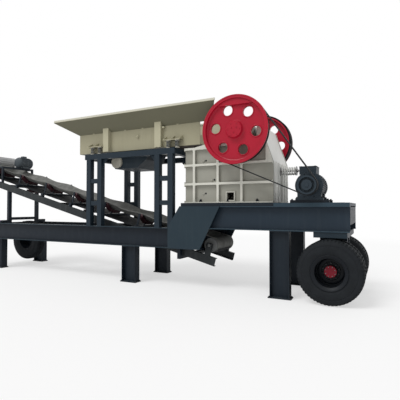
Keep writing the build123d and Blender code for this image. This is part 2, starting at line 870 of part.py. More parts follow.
def motor():
    """The drive motor with its feet and cowl, its terminal box, and the rails it slides on."""
    x = at(motor_ahead)
    z = motor_height
    y0 = -motor_front
    y1 = y0 + motor_length
    frame = drum_y(motor_radius, y0 + shield_thick, y1, x, z)
    frame += drum_y(shield_radius, y0 + shield_thick / 2, y0 + 1.5 * shield_thick, x, z)
    frame += drum_y(shield_radius, y1 - shield_thick, y1, x, z)
    frame += drum_y(bearing_cap_radius, y0, y0 + shield_thick, x, z)
    frame += drum_y(cowl_radius, y1 - 1, y1 + cowl_length, x, z)
    foot_top = slide_rail_top + motor_foot_thick
    for y in slide_rail_ys:
        half = motor_foot_length / 2
        frame += block(x - motor_foot_half, x + motor_foot_half, y - half, y + half,
                       slide_rail_top, foot_top)
        for side in (-1, 1):
            inner = x + side * motor_foot_half * 0.45
            outer = x + side * motor_foot_half * 0.85
            frame += block(min(inner, outer), max(inner, outer), y - half, y + half,
                           foot_top - 1, z - motor_radius * 0.55)
    length, depth, height = terminal_box_size
    bx = at(terminal_box_ahead)
    box = block(bx - length / 2, bx + length / 2, terminal_box_y - depth / 2,
                terminal_box_y + depth / 2, terminal_box_bottom, terminal_box_bottom + height)
    neck = min(length, depth) / 4
    box += block(x - neck, x + neck, terminal_box_y - neck, terminal_box_y + neck, z + neck,
                 terminal_box_bottom)
    box -= drum_y(motor_radius, y0, y1, x, z)
    rails = []
    for y in slide_rail_ys:
        half = slide_rail_width / 2
        rails.append(block(x - slide_rail_half, x + slide_rail_half, y - half, y + half,
                           deck_top, slide_rail_top))
    return {
        "motor_housing": frame,
        "motor_terminal_box": box,
        "motor_slide_rails": solids(rails),
    }


def feeder():
    """The feeder trough with its flared sides, grizzly bars, springs and exciter."""
    front = at(trough_front_ahead)
    rear = at(trough_rear_ahead)
    half = trough_half
    trough = block(front, rear, -half, half, trough_bottom, trough_top)
    trough -= block(front + plate_thick, rear + 1, -half + plate_thick, half - plate_thick,
                    trough_bottom + plate_thick, trough_top + 1)
    trough -= block(at(pan_rear_ahead), rear + 1, -half + plate_thick, half - plate_thick,
                    trough_bottom - 1, trough_top)
    for ahead in spring_bracket_aheads:
        x0 = at(ahead) - spring_bracket_length / 2
        for side in (-1, 1):
            shelf = spring_middle + spring_radius + 20
            y0, y1 = sorted((side * half, side * shelf))
            trough += block(x0, x0 + spring_bracket_length, y0, y1, spring_bracket_height,
                            spring_bracket_height + spring_bracket_thick)

    rim_front = at(trough_front_ahead + flare_out * 1.8)
    rim_rear = at(flare_rear_ahead)
    rim = half + flare_out
    rim_z = trough_top + flare_up
    foot_rear = at(flare_foot_rear_ahead)
    side = sheet_between((front, -half, trough_top), (foot_rear, -half, trough_top),
                         (rim_rear, -rim, rim_z), (rim_front, -rim, rim_z), plate_thick)
    lip_side = block(rim_front, rim_rear, -rim, -rim + lip_thick, rim_z, rim_z + lip_height)
    back = sheet_between((front, half, trough_top), (front, -half, trough_top),
                         (rim_front, -rim, rim_z), (rim_front, rim, rim_z), plate_thick)
    lip_back = block(rim_front, rim_front + lip_thick, -rim, rim, rim_z, rim_z + lip_height)
    flares = side + far_side(side) + back + lip_side + far_side(lip_side) + lip_back

    stiffeners = []
    under = trough_top - plate_thick * 2 ** 0.5
    for ahead in stiffener_aheads:
        x0 = at(ahead) - stiffener_length / 2
        outline = [(-half, trough_bottom), (-half - stiffener_depth, trough_bottom),
                   (-half - stiffener_depth, under + stiffener_depth), (-half, under)]
        stiffeners += both(end_plate(outline, x0, x0 + stiffener_length))

    bars = []
    inner = half - plate_thick
    pitch = 2 * inner / bar_count
    for k in range(bar_count):
        y = -inner + pitch * (k + 0.5)
        bars.append(block(at(pan_rear_ahead), rear, y - bar_width / 2, y + bar_width / 2,
                          trough_bottom - bar_depth + plate_thick, trough_bottom + plate_thick))
    tie = block(rear - bar_width, rear, -inner, inner, trough_bottom + plate_thick - bar_depth,
                trough_bottom)
    grizzly = tie
    for bar in bars:
        grizzly += bar

    springs = []
    for ahead in spring_bracket_aheads:
        for step in (-spring_offset, spring_offset):
            spring = coil_z(at(ahead) + step, -spring_middle, tower_top, spring_bracket_height)
            springs += both(spring)

    x = at(exciter_shaft_ahead)
    outline = [
        (x - exciter_front_reach, trough_bottom),
        (x - exciter_front_reach, exciter_shaft_height - exciter_front_corner_drop),
        (x - exciter_floor_front_reach, exciter_shaft_height - exciter_floor_drop),
        (x + exciter_floor_rear_reach, exciter_shaft_height - exciter_floor_drop),
        (x + exciter_knee_reach, exciter_shaft_height + exciter_knee_rise),
        (x + exciter_rear_reach, trough_bottom),
    ]
    housing = side_plate(outline, -exciter_half, exciter_half)
    cover = drum_y(exciter_cover_radius, -exciter_half - exciter_cover_thick, -exciter_half,
                   x, exciter_shaft_height)
    return {
        "feeder_trough": trough,
        "feeder_flares": flares,
        "feeder_stiffeners": solids(stiffeners),
        "grizzly_bars": grizzly,
        "feeder_springs": solids(springs),
        "exciter_housing": housing,
        "exciter_covers": solids(both(cover)),
    }


def tower():
    """Four ladder posts on the low beams, and the welded frame on top of them."""
    ladders = []
    y_out = -frame_half
    y_in = y_out + upright
    for ahead in ladder_front_aheads:
        x0 = at(ahead)
        x1 = x0 + ladder_width
        ladder = block(x0, x0 + upright, y_out, y_in, low_top, tower_top - tower_beam)
        ladder += block(x1 - upright, x1, y_out, y_in, low_top, tower_top - tower_beam)
        for z0 in rung_bottoms:
            ladder += block(x0 + upright, x1 - upright, y_out + 10, y_in - 10, z0, z0 + rung_height)
        ladders += both(ladder)
    beam_front = at(ladder_front_aheads[0]) - tower_overhang
    beam_rear = at(ladder_front_aheads[1]) + ladder_width + tower_overhang
    z0 = tower_top - tower_beam
    beam = block(beam_front, beam_rear, y_out, y_in, z0, tower_top)
    for x, turn in ((at(ladder_front_aheads[0]) + ladder_width, 1), (at(ladder_front_aheads[1]), -1)):
        middle = (y_out + y_in) / 2
        beam += side_plate([(x, z0), (x + turn * tower_gusset, z0), (x, z0 - tower_gusset)],
                           middle - tower_gusset_thick / 2, middle + tower_gusset_thick / 2)
    frame = beam + far_side(beam)
    for x in (beam_front, beam_rear - tower_beam):
        frame += block(x, x + tower_beam, y_in, -y_in, z0, tower_top)
    return {"ladder_posts": solids(ladders), "tower_top_frame": frame}


# The conveyor is made level, from its tail, and then tilted into place
incline = Plane(
    origin=(at(line_ahead), 0, line_height),
    x_dir=(-cos(slope), 0, sin(slope)),
    z_dir=(sin(slope), 0, cos(slope)),
)
tail_along = (tail_ahead - line_ahead) / cos(slope) + pulley_lift * sin(slope) / cos(slope)
head_along = tail_along + conveyor_length


def tilted(*shapes):
    """Level conveyor pieces, moved onto the incline."""
    return solids([incline.location * solid for shape in shapes for solid in shape.solids()])


def line_top(ahead):
    """Height of the stringers' top edge at a place along the plant."""
    return line_height + (ahead - line_ahead) * sin(slope) / cos(slope)


def belt_section(along, lift, angle):
    """The belt's cross section at one place, with its wings raised by an angle."""
    a = radians(angle)
    flat = conveyor_belt_half_flat
    wing_y = flat + conveyor_belt_wing * cos(a)
    wing_z = lift + conveyor_belt_wing * sin(a)
    thick = conveyor_belt_thick
    points = [(-wing_y, wing_z), (-flat, lift), (flat, lift), (wing_y, wing_z),
              (wing_y, wing_z + thick), (flat, lift + thick), (-flat, lift + thick),
              (-wing_y, wing_z + thick)]
    return Plane.YZ.offset(along).location * make_face(Polyline(*points, close=True))


def conveyor_belt():
    """The belt as one closed loop: a troughed upper run, two wraps and a flat return run."""
    top = pulley_lift + belt_pulley_radius
    bottom = pulley_lift - belt_pulley_radius
    half = conveyor_belt_half_flat + conveyor_belt_wing
    start = tail_along + transition
    end = head_along - transition
    run = extrude(belt_section(start, trough_lift, trough_angle), amount=end - start)
    tail = loft([belt_section(tail_along, top, 0), belt_section(start, trough_lift, trough_angle)],
                ruled=True)
    head = loft([belt_section(end, trough_lift, trough_angle), belt_section(head_along, top, 0)],
                ruled=True)
    back = block(tail_along, head_along, -half, half, bottom - conveyor_belt_thick, bottom)
    loop = run + tail + head + back
    for x, keep in ((tail_along, -1), (head_along, 1)):
        wrap = drum_y(belt_pulley_radius + conveyor_belt_thick, -half, half, x, pulley_lift)
        wrap -= drum_y(belt_pulley_radius, -half - 1, half + 1, x, pulley_lift)
        reach = 2 * belt_pulley_radius
        x0, x1 = sorted((x, x - keep * reach))
        wrap -= block(x0, x1, -half - 1, half + 1, pulley_lift - reach, pulley_lift + reach)
        loop += wrap
    return loop


def idler_set(along):
    """One set of three rollers, and the stand that carries them across the stringers."""
    a = radians(trough_angle)
    flat = conveyor_belt_half_flat
    reach = stringer_half - stringer_wall
    half = idler_foot / 2
    half_plate = idler_plate / 2
    centre = trough_lift - roller_radius
    stop = roller_pin * sin(a) + roller_end_gap

    # The wing roller's two ends on its own axis, as places across the belt and above the stringers
    near_y = flat + roller_gap * cos(a) + roller_radius * sin(a)
    near_z = trough_lift + roller_gap * sin(a) - roller_radius * cos(a)
    far_y = flat + conveyor_belt_wing * cos(a) + roller_radius * sin(a)
    far_z = trough_lift + conveyor_belt_wing * sin(a) - roller_radius * cos(a)
    outer_post = far_y + roller_radius * sin(a) + roller_stop
    near_pin = (near_y - flat - half_plate - stop) / cos(a)
    far_pin = (outer_post - far_y - stop) / cos(a)
    outer_top = far_z + (outer_post - far_y) * sin(a) / cos(a) + 2 * roller_pin

    stand = block(along - half, along + half, -reach, reach, idler_bar_bottom, idler_bar_top)
    pin_half = flat - half_plate - roller_end_gap
    middle_roller = drum_y(roller_radius, -flat + roller_gap, flat - roller_gap, along, centre)
    middle_roller += drum_y(roller_pin, -pin_half, pin_half, along, centre)
    rollers = [middle_roller]
    for side in (-1, 1):
        y0, y1 = sorted((side * (reach - idler_foot), side * reach))
        stand += block(along - half, along + half, y0, y1, 0, idler_bar_bottom + 1)
        y0, y1 = sorted((side * (flat - half_plate), side * (flat + half_plate)))
        stand += block(along - half_plate * 3, along + half_plate * 3, y0, y1, idler_bar_top - 1,
                       centre + 2 * roller_pin)
        y0, y1 = sorted((side * outer_post, side * (outer_post + idler_plate)))
        stand += block(along - half_plate * 5, along + half_plate * 5, y0, y1, idler_bar_top - 1,
                       outer_top)
        length = ((far_y - near_y) ** 2 + (far_z - near_z) ** 2) ** 0.5
        tilt = Rot(90 + side * trough_angle, 0, 0)
        barrel = Pos(along, side * (near_y + far_y) / 2, (near_z + far_z) / 2) * tilt
        shift = (far_pin - near_pin) / 2
        core = Pos(along, side * ((near_y + far_y) / 2 + shift * cos(a)),
                   (near_z + far_z) / 2 + shift * sin(a)) * tilt
        rollers.append(barrel * Cylinder(roller_radius, length)
                       + core * Cylinder(roller_pin, length + near_pin + far_pin))
    return stand, rollers


def conveyor_frame():
    """The two channels, the ties between them, and the brackets of the pulleys and rollers."""
    stringer_end = head_along + head_overhang
    outer = -stringer_half
    stringer = block(stringer_start, stringer_end, outer, outer + stringer_flange,
                     -stringer_depth, 0)
    stringer -= block(stringer_start - 1, stringer_end + 1, outer + stringer_wall,
                      outer + stringer_flange + 1, -stringer_depth + stringer_wall, -stringer_wall)
    frame = stringer + far_side(stringer)
    floor = -stringer_depth + stringer_wall
    for start in tie_starts:
        frame += block(start, start + tie_size, outer + stringer_wall, -outer - stringer_wall,
                       floor, floor + tie_size)
    half = pulley_bearing_length / 2
    height = pulley_lift + pulley_bearing_height / 2
    for along in (tail_along, head_along):
        for side in (-1, 1):
            y0, y1 = sorted((side * stringer_half, side * (stringer_half - stringer_flange + 20)))
            bearing = block(along - half, along + half, y0, y1, -1, height)
            frame += bearing - drum_y(conveyor_shaft_radius + bearing_gap, y0 - 1, y1 + 1,
                                      along, pulley_lift)
    edge = stringer_half - stringer_flange
    for along, z in return_places():
        for side in (-1, 1):
            y0, y1 = sorted((side * (edge - return_bracket_depth), side * edge))
            frame += block(along - half / 2, along + half / 2, y0, y1, z - return_bracket_drop,
                           z + return_bracket_drop)
    return frame


def return_places():
    """Where the rollers under the return run lie, along the incline and above the stringers."""
    z = pulley_lift - belt_pulley_radius - conveyor_belt_thick - return_roller_radius
    start = tail_along + first_idler + idler_pitch / 2
    return [(start + return_roller_pitch * k, z) for k in range(return_roller_count)]


def conveyor():
    """The inclined conveyor: frame, rollers, pulleys, belt, posts and tail hanger."""
    stands = []
    rollers = []
    for k in range(idler_count):
        stand, set_rollers = idler_set(tail_along + first_idler + idler_pitch * k)
        stands.append(stand)
        rollers += set_rollers
    stop = stringer_half - stringer_flange - return_bracket_depth - roller_end_gap
    for along, z in return_places():
        roller = drum_y(return_roller_radius, -return_roller_half, return_roller_half, along, z)
        rollers.append(roller + drum_y(roller_pin, -stop, stop, along, z))

    pulleys = []
    for along in (tail_along, head_along):
        drum = drum_y(belt_pulley_radius - belt_pulley_gap, -belt_pulley_half, belt_pulley_half,
                      along, pulley_lift)
        pulleys.append(drum + drum_y(conveyor_shaft_radius, -stringer_half, stringer_half,
                                     along, pulley_lift))
    return {
        "conveyor_frame": tilted(conveyor_frame()),
        "idler_stands": tilted(*stands),
        "conveyor_rollers": tilted(*rollers),
        "conveyor_belt": tilted(conveyor_belt()),
        "conveyor_pulleys": tilted(*pulleys),
        "conveyor_posts": conveyor_posts(),
        "tail_hanger": tail_hanger(),
    }


def under_stringer(ahead):
    """Height of the stringers' lower edge at a place along the plant."""
    return line_top(ahead) - stringer_depth / cos(slope)


def conveyor_posts():
    """Two tied posts under the conveyor, each on a sill that lies on its low beam."""
    lead = post_size / 2
    foot = low_top + sill_height
    inner = post_outer - post_size
    front = at(post_ahead + lead)
    rear = at(post_ahead - lead)
    outline = [(front, foot - 1), (rear, foot - 1), (rear, under_stringer(post_ahead - lead)),
               (front, under_stringer(post_ahead + lead))]
    side = side_plate(outline, -post_outer, -inner)
    side += block(at(post_ahead) - sill_width / 2, at(post_ahead) + sill_width / 2,
                  -sill_half_length, -inner, low_top, foot)
    tie = block(front, rear, -inner - 1, inner + 1, foot, foot + sill_height)
    return side + far_side(side) + tie


def tail_hanger():
    """The cradle that hangs from the low beams and carries the conveyor near its tail."""
    half = hanger_size / 2
    ahead = hanger_ahead
    inner = frame_half - beam_flange
    reach = inner + hanger_size
    outline = [(at(ahead + half), under_stringer(ahead + half)),
               (at(ahead - half), under_stringer(ahead - half)),
               (at(ahead - half), under_stringer(ahead - half) - hanger_size),
               (at(ahead + half), under_stringer(ahead - half) - hanger_size)]
    hanger = side_plate(outline, -reach, reach)
    for side in (-1, 1):
        y0, y1 = sorted((side * inner, side * reach))
        hanger += block(at(ahead + half), at(ahead - half), y0, y1,
                        under_stringer(ahead) - hanger_size / 2, low_bottom)
    return hanger


def magnet_drum():
    """The magnet drum over the belt, its portal frame and its motor."""
    half = portal_bar / 2
    inner = portal_half - portal_bar
    x = at(portal_aheads[0])
    frame = block(x - half, x + half, -portal_half, portal_half, portal_top - portal_bar, portal_top)
    for side in (-1, 1):
        y0, y1 = sorted((side * portal_half, side * inner))
        for ahead in portal_aheads:
            leg = at(ahead)
            frame += side_plate([(leg - half, line_top(ahead + half)),
                                 (leg + half, line_top(ahead - half)),
                                 (leg + half, portal_top), (leg - half, portal_top)], y0, y1)
        frame += block(at(portal_aheads[1]), at(portal_aheads[0]), y0, y1,
                       portal_top - portal_bar, portal_top)
        stand = block(at(drum_ahead) - drum_stand_half, at(drum_ahead) + drum_stand_half,
                      y0, y1, portal_top - 1, drum_height + drum_stand_half)
        frame += stand
    frame -= drum_y(drum_shaft_radius + bearing_gap, -portal_half - 1, portal_half + 1,
                    at(drum_ahead), drum_height)
    x = at(drum_motor_ahead)
    y_mid = (drum_motor_y0 + drum_motor_y1) / 2
    foot = drum_motor_foot
    motor_case = drum_y(drum_motor_radius, drum_motor_y0, drum_motor_y1, x,
                        portal_top + drum_motor_lift)
    motor_case += block(x - foot, x + foot, y_mid - foot, y_mid + foot, portal_top,
                        portal_top + drum_motor_lift - drum_motor_radius / 2)
    drum = drum_y(drum_radius, -drum_half, drum_half, at(drum_ahead), drum_height)
    drum += drum_y(drum_shaft_radius, -portal_half, portal_half, at(drum_ahead), drum_height)
    return {"magnet_frame": frame, "magnet_drum": drum, "magnet_motor": motor_case}


def chute():
    """The open chute that drops the crushed stone from the crusher onto the belt."""
    def frustum(grow):
        half = base_rail_inner + grow
        top = [(at(chute_top_front_ahead) - grow, -half), (at(chute_top_rear_ahead) + grow, -half),
               (at(chute_top_rear_ahead) + grow, half), (at(chute_top_front_ahead) - grow, half)]
        half = chute_bottom_half + grow
        front = at(chute_bottom_front_ahead) - grow
        rear = at(chute_bottom_rear_ahead) + grow
        low = [(front, -half), (rear, -half), (rear, half), (front, half)]
        faces = []
        for z, points in ((crusher_bottom, top), (chute_bottom, low)):
            faces.append(Pos(0, 0, z) * make_face(Polyline(*points, close=True)))
        return loft(faces, ruled=True)
    return {"discharge_chute": frustum(0) - frustum(-chute_wall)}


def toggle():
    """The plate that props the swinging jaw's lower end against a block on the rear wall."""
    half = toggle_half
    wall = at(crusher_rear_ahead) - wall_thick
    seat = wall - toggle_block
    front = at(swing_jaw_bottom_ahead) + jaw_foot_length
    low = jaw_bottom - jaw_foot_drop
    lift = toggle_thick / 2
    middle = low + toggle_seat_height
    shape = block(seat, wall, -half, half, toggle_block_height - toggle_block / 2,
                  toggle_block_height + toggle_block / 2)
    shape += side_plate([(front + roller_end_gap, middle - lift), (seat + 1, toggle_block_height - lift),
                         (seat + 1, toggle_block_height + lift),
                         (front + roller_end_gap + lift, middle + lift)], -half, half)
    return {"toggle_plate": shape}


def main():
    nodes = {}
    for section in (chassis, support_legs, running_gear, spare_wheel, crusher_body, jaws, toggle,
                    bearings, drive, motor, feeder, tower, conveyor, magnet_drum, chute):
        nodes.update(section())
    os.makedirs("parts", exist_ok=True)
    for name, shape in nodes.items():
        export_step(shape, f"parts/{name}.step")
    box = Compound(children=[shape for shape in nodes.values()]).bounding_box()
    print(len(nodes), "nodes, from", box.min, "to", box.max)


main()
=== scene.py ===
# %% [markdown]
# A jaw crushing plant on a wheeled chassis, dressed for a photograph. The shapes that carry load
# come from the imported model, in metres, with the ground at zero. This lesson adds what a drawing
# leaves out: paint, dust and wear, coils on the springs, treads on the tyres, and the many small
# fasteners.

# %% Load the plant
import json
from math import atan2, cos, pi, radians, sin

import bpy
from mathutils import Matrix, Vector


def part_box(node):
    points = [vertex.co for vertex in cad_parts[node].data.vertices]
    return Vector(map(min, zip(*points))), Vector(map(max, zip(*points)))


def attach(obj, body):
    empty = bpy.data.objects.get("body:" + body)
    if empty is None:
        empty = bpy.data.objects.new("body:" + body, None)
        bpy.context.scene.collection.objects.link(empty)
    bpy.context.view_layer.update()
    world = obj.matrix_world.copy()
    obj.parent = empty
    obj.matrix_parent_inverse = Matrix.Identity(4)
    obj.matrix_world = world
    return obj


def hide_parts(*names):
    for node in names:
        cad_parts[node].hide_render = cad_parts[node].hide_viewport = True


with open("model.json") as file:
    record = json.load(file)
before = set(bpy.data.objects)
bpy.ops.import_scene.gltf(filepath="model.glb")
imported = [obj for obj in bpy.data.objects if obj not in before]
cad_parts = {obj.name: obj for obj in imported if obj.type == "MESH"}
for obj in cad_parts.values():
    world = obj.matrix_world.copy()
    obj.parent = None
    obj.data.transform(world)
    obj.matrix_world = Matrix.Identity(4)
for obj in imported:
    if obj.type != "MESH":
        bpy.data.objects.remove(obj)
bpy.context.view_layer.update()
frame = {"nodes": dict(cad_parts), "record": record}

nodes = frame["nodes"]

# %% [markdown]
# The plant is measured from its wheel axle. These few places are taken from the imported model
# itself, so that each added piece sits on what carries it.

# %% Places on the plant
low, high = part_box("near_tyres")
axle_x = (low.x + high.x) / 2
wheel_z = (low.z + high.z) / 2
low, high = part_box("near_flywheel")
shaft_x = (low.x + high.x) / 2
shaft_z = (low.z + high.z) / 2
flywheel_radius = (high.x - low.x) / 2
low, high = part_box("motor_pulley")
motor_x = (low.x + high.x) / 2
motor_z = (low.z + high.z) / 2
print("axle, shaft and motor at X", round(axle_x, 3), round(shaft_x, 3), round(motor_x, 3))


def ahead(distance):
    """X of a place that lies so far ahead of the wheel axle, towards the conveyor's head."""
    return axle_x - distance


# %% [markdown]
# Paint shops give colours as hex values on a screen. Blender mixes light in linear values, so one
# function turns each hex colour to linear. A second one adds a shader node with its settings, its
# values and its links in a single line.

# %% Colour and node helpers
def linear(hex_colour):
    """An sRGB hex colour, such as #2c333c, as linear red, green, blue and alpha."""
    parts = [int(hex_colour[i:i + 2], 16) / 255 for i in (1, 3, 5)]
    return [c / 12.92 if c <= 0.04045 else ((c + 0.055) / 1.055) ** 2.4 for c in parts] + [1.0]


def add_node(tree, kind, values=None, **settings):
    """A new shader node, with its settings made and its inputs filled or linked."""
    item = tree.nodes.new(kind)
    for key, value in settings.items():
        setattr(item, key, value)
    for key, value in (values or {}).items():
        if isinstance(value, bpy.types.NodeSocket):
            tree.links.new(value, item.inputs[key])
        else:
            item.inputs[key].default_value = value
    return item


def new_material(name):
    """An empty material with its node tree and its Object coordinates."""
    material = bpy.data.materials.new(name)
    material.use_nodes = True
    tree = material.node_tree
    tree.nodes.clear()
    place = add_node(tree, "ShaderNodeTexCoord").outputs["Object"]
    return material, tree, place


# %% [markdown]
# Most of the plant is rolled or welded steel under brushed or sprayed alkyd enamel. Up close such
# paint has a slight orange peel, and outdoors it gathers stone dust: on faces that look up, and in
# soft vertical streaks where rain has run. So each enamel is built from the same layers: a base
# colour with a broad change of shade, streaks that are long in Z, dust by the surface's direction,
# and a fine bump. Real orange peel is 2 or 3 mm across, too fine to show from here, so it is drawn
# at 9 mm. Two more layers may be added, and both are painted shade. One darkens a finish with
# depth, in its pockets and recesses: it takes two distances from the plant's middle plane and the
# colour of what lies nearer to it. The other gives the colour of faces that look down, painted
# shade on the undersides. Scales are in metres: noise at 1.7 per metre varies over about 0.6 m.

# %% Enamel on steel
peel_mm = 9


def enamel(name, base, shade, dust, dusty=0.5, streaky=0.3, rough=0.42, recess_shade=None, underside_shade=None,
           shine=0.2):
    """Enamel paint on steel, with dust on top faces and streaks down its sides."""
    material, tree, place = new_material(name)
    broad = add_node(tree, "ShaderNodeTexNoise", {"Vector": place, "Scale": 1.7, "Detail": 4.0})
    layers = [(broad.outputs["Fac"], shade)]
    normal = add_node(tree, "ShaderNodeNewGeometry")
    split = add_node(tree, "ShaderNodeSeparateXYZ", {"Vector": normal.outputs["Normal"]})
    # Painted shade: the finish turns darker towards the plant's middle plane, in pockets and
    # recesses.
    if recess_shade:
        where = add_node(tree, "ShaderNodeSeparateXYZ", {"Vector": place})
        depth = add_node(tree, "ShaderNodeMath", {0: where.outputs["Y"]}, operation="ABSOLUTE")
        recess_shade_mask = add_node(tree, "ShaderNodeMapRange", {
            "Value": depth.outputs["Value"], "From Min": recess_shade[0], "From Max": recess_shade[1],
            "To Min": 1.0, "To Max": 0.0})
        layers.append((recess_shade_mask.outputs["Result"], recess_shade[2]))
    # Painted shade: faces that look down take a darker colour.
    if underside_shade:
        down = add_node(tree, "ShaderNodeMapRange", {
            "Value": split.outputs["Z"], "From Min": -0.15, "From Max": -0.5})
        layers.append((down.outputs["Result"], underside_shade))
    stretch = add_node(tree, "ShaderNodeMapping", {"Vector": place, "Scale": (9.0, 9.0, 0.9)})
    streak = add_node(tree, "ShaderNodeTexNoise", {
        "Vector": stretch.outputs["Vector"], "Scale": 1.6, "Detail": 5.0})
    streak_mask = add_node(tree, "ShaderNodeMapRange", {
        "Value": streak.outputs["Fac"], "From Min": 0.52, "From Max": 0.78, "To Max": streaky})
    layers.append((streak_mask.outputs["Result"], dust))
    grains = add_node(tree, "ShaderNodeTexNoise", {"Vector": place, "Scale": 9.0, "Detail": 8.0})
    up = add_node(tree, "ShaderNodeMapRange", {
        "Value": split.outputs["Z"], "From Min": 0.25, "To Max": dusty})
    settled = add_node(tree, "ShaderNodeMapRange", {
        "Value": grains.outputs["Fac"], "From Min": 0.30, "From Max": 0.65})
    cover = add_node(tree, "ShaderNodeMath", {
        0: up.outputs["Result"], 1: settled.outputs["Result"]}, operation="MULTIPLY")
    layers.append((cover.outputs["Value"], dust))
    paint = linear(base)
    for mask, colour in layers:
        mixed = add_node(tree, "ShaderNodeMix", {
            "Factor": mask, "A": paint, "B": linear(colour)}, data_type="RGBA")
        paint = mixed.outputs["Result"]
    gloss = add_node(tree, "ShaderNodeMapRange", {
        "Value": grains.outputs["Fac"], "To Min": rough - 0.08, "To Max": rough + 0.22})
    peel = add_node(tree, "ShaderNodeTexNoise", {
        "Vector": place, "Scale": 1000 / peel_mm, "Detail": 3.0})
    bump = add_node(tree, "ShaderNodeBump", {
        "Height": peel.outputs["Fac"], "Strength": 0.12, "Distance": 0.002})
    shader = add_node(tree, "ShaderNodeBsdfPrincipled", {
        "Base Color": paint, "Roughness": gloss.outputs["Result"],
        "Specular IOR Level": shine, "Normal": bump.outputs["Normal"]})
    add_node(tree, "ShaderNodeOutputMaterial", {"Surface": shader.outputs["BSDF"]})
    return material


# The slate, upper-beam and cream finishes carry painted shade in their recesses.
slate_enamel = enamel("slate_enamel_on_rolled_steel", "#1f2d37", "#27363e", "#5c6163", 0.35, 0.05,
                      recess_shade=(0.70, 0.745, "#182029"))
# The upper-beam copy of the slate paint is lighter, painted light, and the tower and leg copies are
# darker, painted shade.
lit_deck_enamel = enamel("lit_slate_enamel_on_upper_beams", "#293a46", "#30414b", "#666b6d", 0.35, 0.05,
                     recess_shade=(0.70, 0.745, "#202c37"))
shaded_tower_enamel = enamel("shaded_slate_enamel_on_tower", "#1b2731", "#222e37", "#5c6163", 0.35, 0.05)
shaded_leg_enamel = enamel("shaded_slate_enamel_on_legs", "#141c25", "#1b242c", "#4c5153", 0.35, 0.08)
cream_enamel = enamel("cream_enamel_on_cast_steel", "#d8d7cd", "#cbcac0", "#8b887e", 0.25, 0.2,
                      recess_shade=(0.572, 0.612, "#9b9a90"))
# A lighter copy of the cream paint, painted light on the end walls, which face away from the lamp.
lit_wall_enamel = enamel("lit_cream_enamel_on_end_walls", "#efefec", "#e2e3de", "#a3a198", 0.2, 0.2)
# The olive finish carries painted shade on the faces that look down.
olive_enamel = enamel("olive_cream_enamel_on_plate", "#a8a48c", "#97927a", "#6f6b58", 0.3, 0.12,
                      underside_shade="#6c6a58")
stiffener_enamel = enamel("olive_cream_enamel_on_stiffeners", "#b8b49b", "#aba78e", "#8b8772",
                          0.3, 0.2)
cover_enamel = enamel("grey_beige_enamel_on_cover", "#c4c1b4", "#b3afa2", "#7d7a70", 0.3, 0.1)
red_enamel = enamel("red_enamel_on_cast_iron", "#b4142f", "#980f28", "#84333c", 0.2, 0.05, 0.26,
                    shine=0.26)
motor_enamel = enamel("blue_grey_enamel_on_motor", "#202b33", "#2e3840", "#5d6366", 0.4, 0.1)
small_motor_enamel = enamel("faded_grey_enamel_on_magnet_motor", "#42494f", "#4e555a", "#73787a")
drum_enamel = enamel("light_grey_enamel_on_drum", "#c6c7c7", "#b5b6b6", "#8f8f8c", 0.3, 0.1)
rim_enamel = enamel("black_enamel_on_pressed_rim", "#0a0e13", "#0f151c", "#2c2c2b", 0.2, 0.06)
hub_enamel = enamel("red_enamel_on_hub", "#86182a", "#6b1522", "#5b4040", 0.3, 0.1, 0.35)
chute_enamel = enamel("worn_grey_enamel_on_chute", "#6e7070", "#5e6060", "#8a8a86", 0.4, 0.3, 0.5)
stringer_enamel = enamel("dusty_grey_enamel_on_channel", "#25292b", "#2d3133", "#626365", 0.5, 0.2)
roller_enamel = enamel("brown_red_enamel_on_rollers", "#46262b", "#38222a", "#6a5552",
                       0.4, 0.3, 0.5)
print("enamels ready")

# %% [markdown]
# On the flywheels the rim's outer surface is drawn nearly black and rougher, from a line just
# behind the front edge. The line follows the distance from the shaft and from the plant's middle,
# and the dark zone is mixed over the red.

# %% Dark band on the flywheel rims
def opened(material):
    """A finished material's node tree, its shader, and its Object coordinates."""
    tree = material.node_tree
    shader = next(item for item in tree.nodes if item.type == "BSDF_PRINCIPLED")
    return tree, shader, add_node(tree, "ShaderNodeTexCoord").outputs["Object"]


def lay_over(tree, shader, mask, colour):
    """Lays one more colour over a finished paint, where a mask is 1."""
    mixed = add_node(tree, "ShaderNodeMix", {
        "Factor": mask, "A": shader.inputs["Base Color"].links[0].from_socket,
        "B": linear(colour)}, data_type="RGBA")
    tree.links.new(mixed.outputs["Result"], shader.inputs["Base Color"])


def dark_rim_band(material, radius, edge):
    """Darkens what lies further from the shaft than a radius, behind the painted edge."""
    tree, shader, place = opened(material)
    moved = add_node(tree, "ShaderNodeVectorMath", {0: place, 1: (shaft_x, 0, shaft_z)},
                     operation="SUBTRACT")
    flat = add_node(tree, "ShaderNodeVectorMath", {0: moved.outputs["Vector"], 1: (1, 0, 1)},
                    operation="MULTIPLY")
    reach = add_node(tree, "ShaderNodeVectorMath", {0: flat.outputs["Vector"]}, operation="LENGTH")
    outer = add_node(tree, "ShaderNodeMapRange", {
        "Value": reach.outputs["Value"], "From Min": radius - 0.002, "From Max": radius + 0.002})
    split = add_node(tree, "ShaderNodeSeparateXYZ", {"Vector": place})
    depth = add_node(tree, "ShaderNodeMath", {0: split.outputs["Y"]}, operation="ABSOLUTE")
    behind = add_node(tree, "ShaderNodeMapRange", {
        "Value": depth.outputs["Value"], "From Min": edge, "From Max": edge - 0.006})
    dark_band = add_node(tree, "ShaderNodeMath", {
        0: outer.outputs["Result"], 1: behind.outputs["Result"]}, operation="MULTIPLY")
    lay_over(tree, shader, dark_band.outputs["Value"], "#0c0d10")
    gloss = shader.inputs["Roughness"].links[0].from_socket
    dull = add_node(tree, "ShaderNodeMath", {0: dark_band.outputs["Value"], 1: 0.9},
                    operation="MULTIPLY")
    rougher = add_node(tree, "ShaderNodeMath", {0: dull.outputs["Value"], 1: gloss},
                       operation="MAXIMUM")
    tree.links.new(rougher.outputs["Value"], shader.inputs["Roughness"])


dark_rim_band(red_enamel, flywheel_radius - 0.034, 0.958)
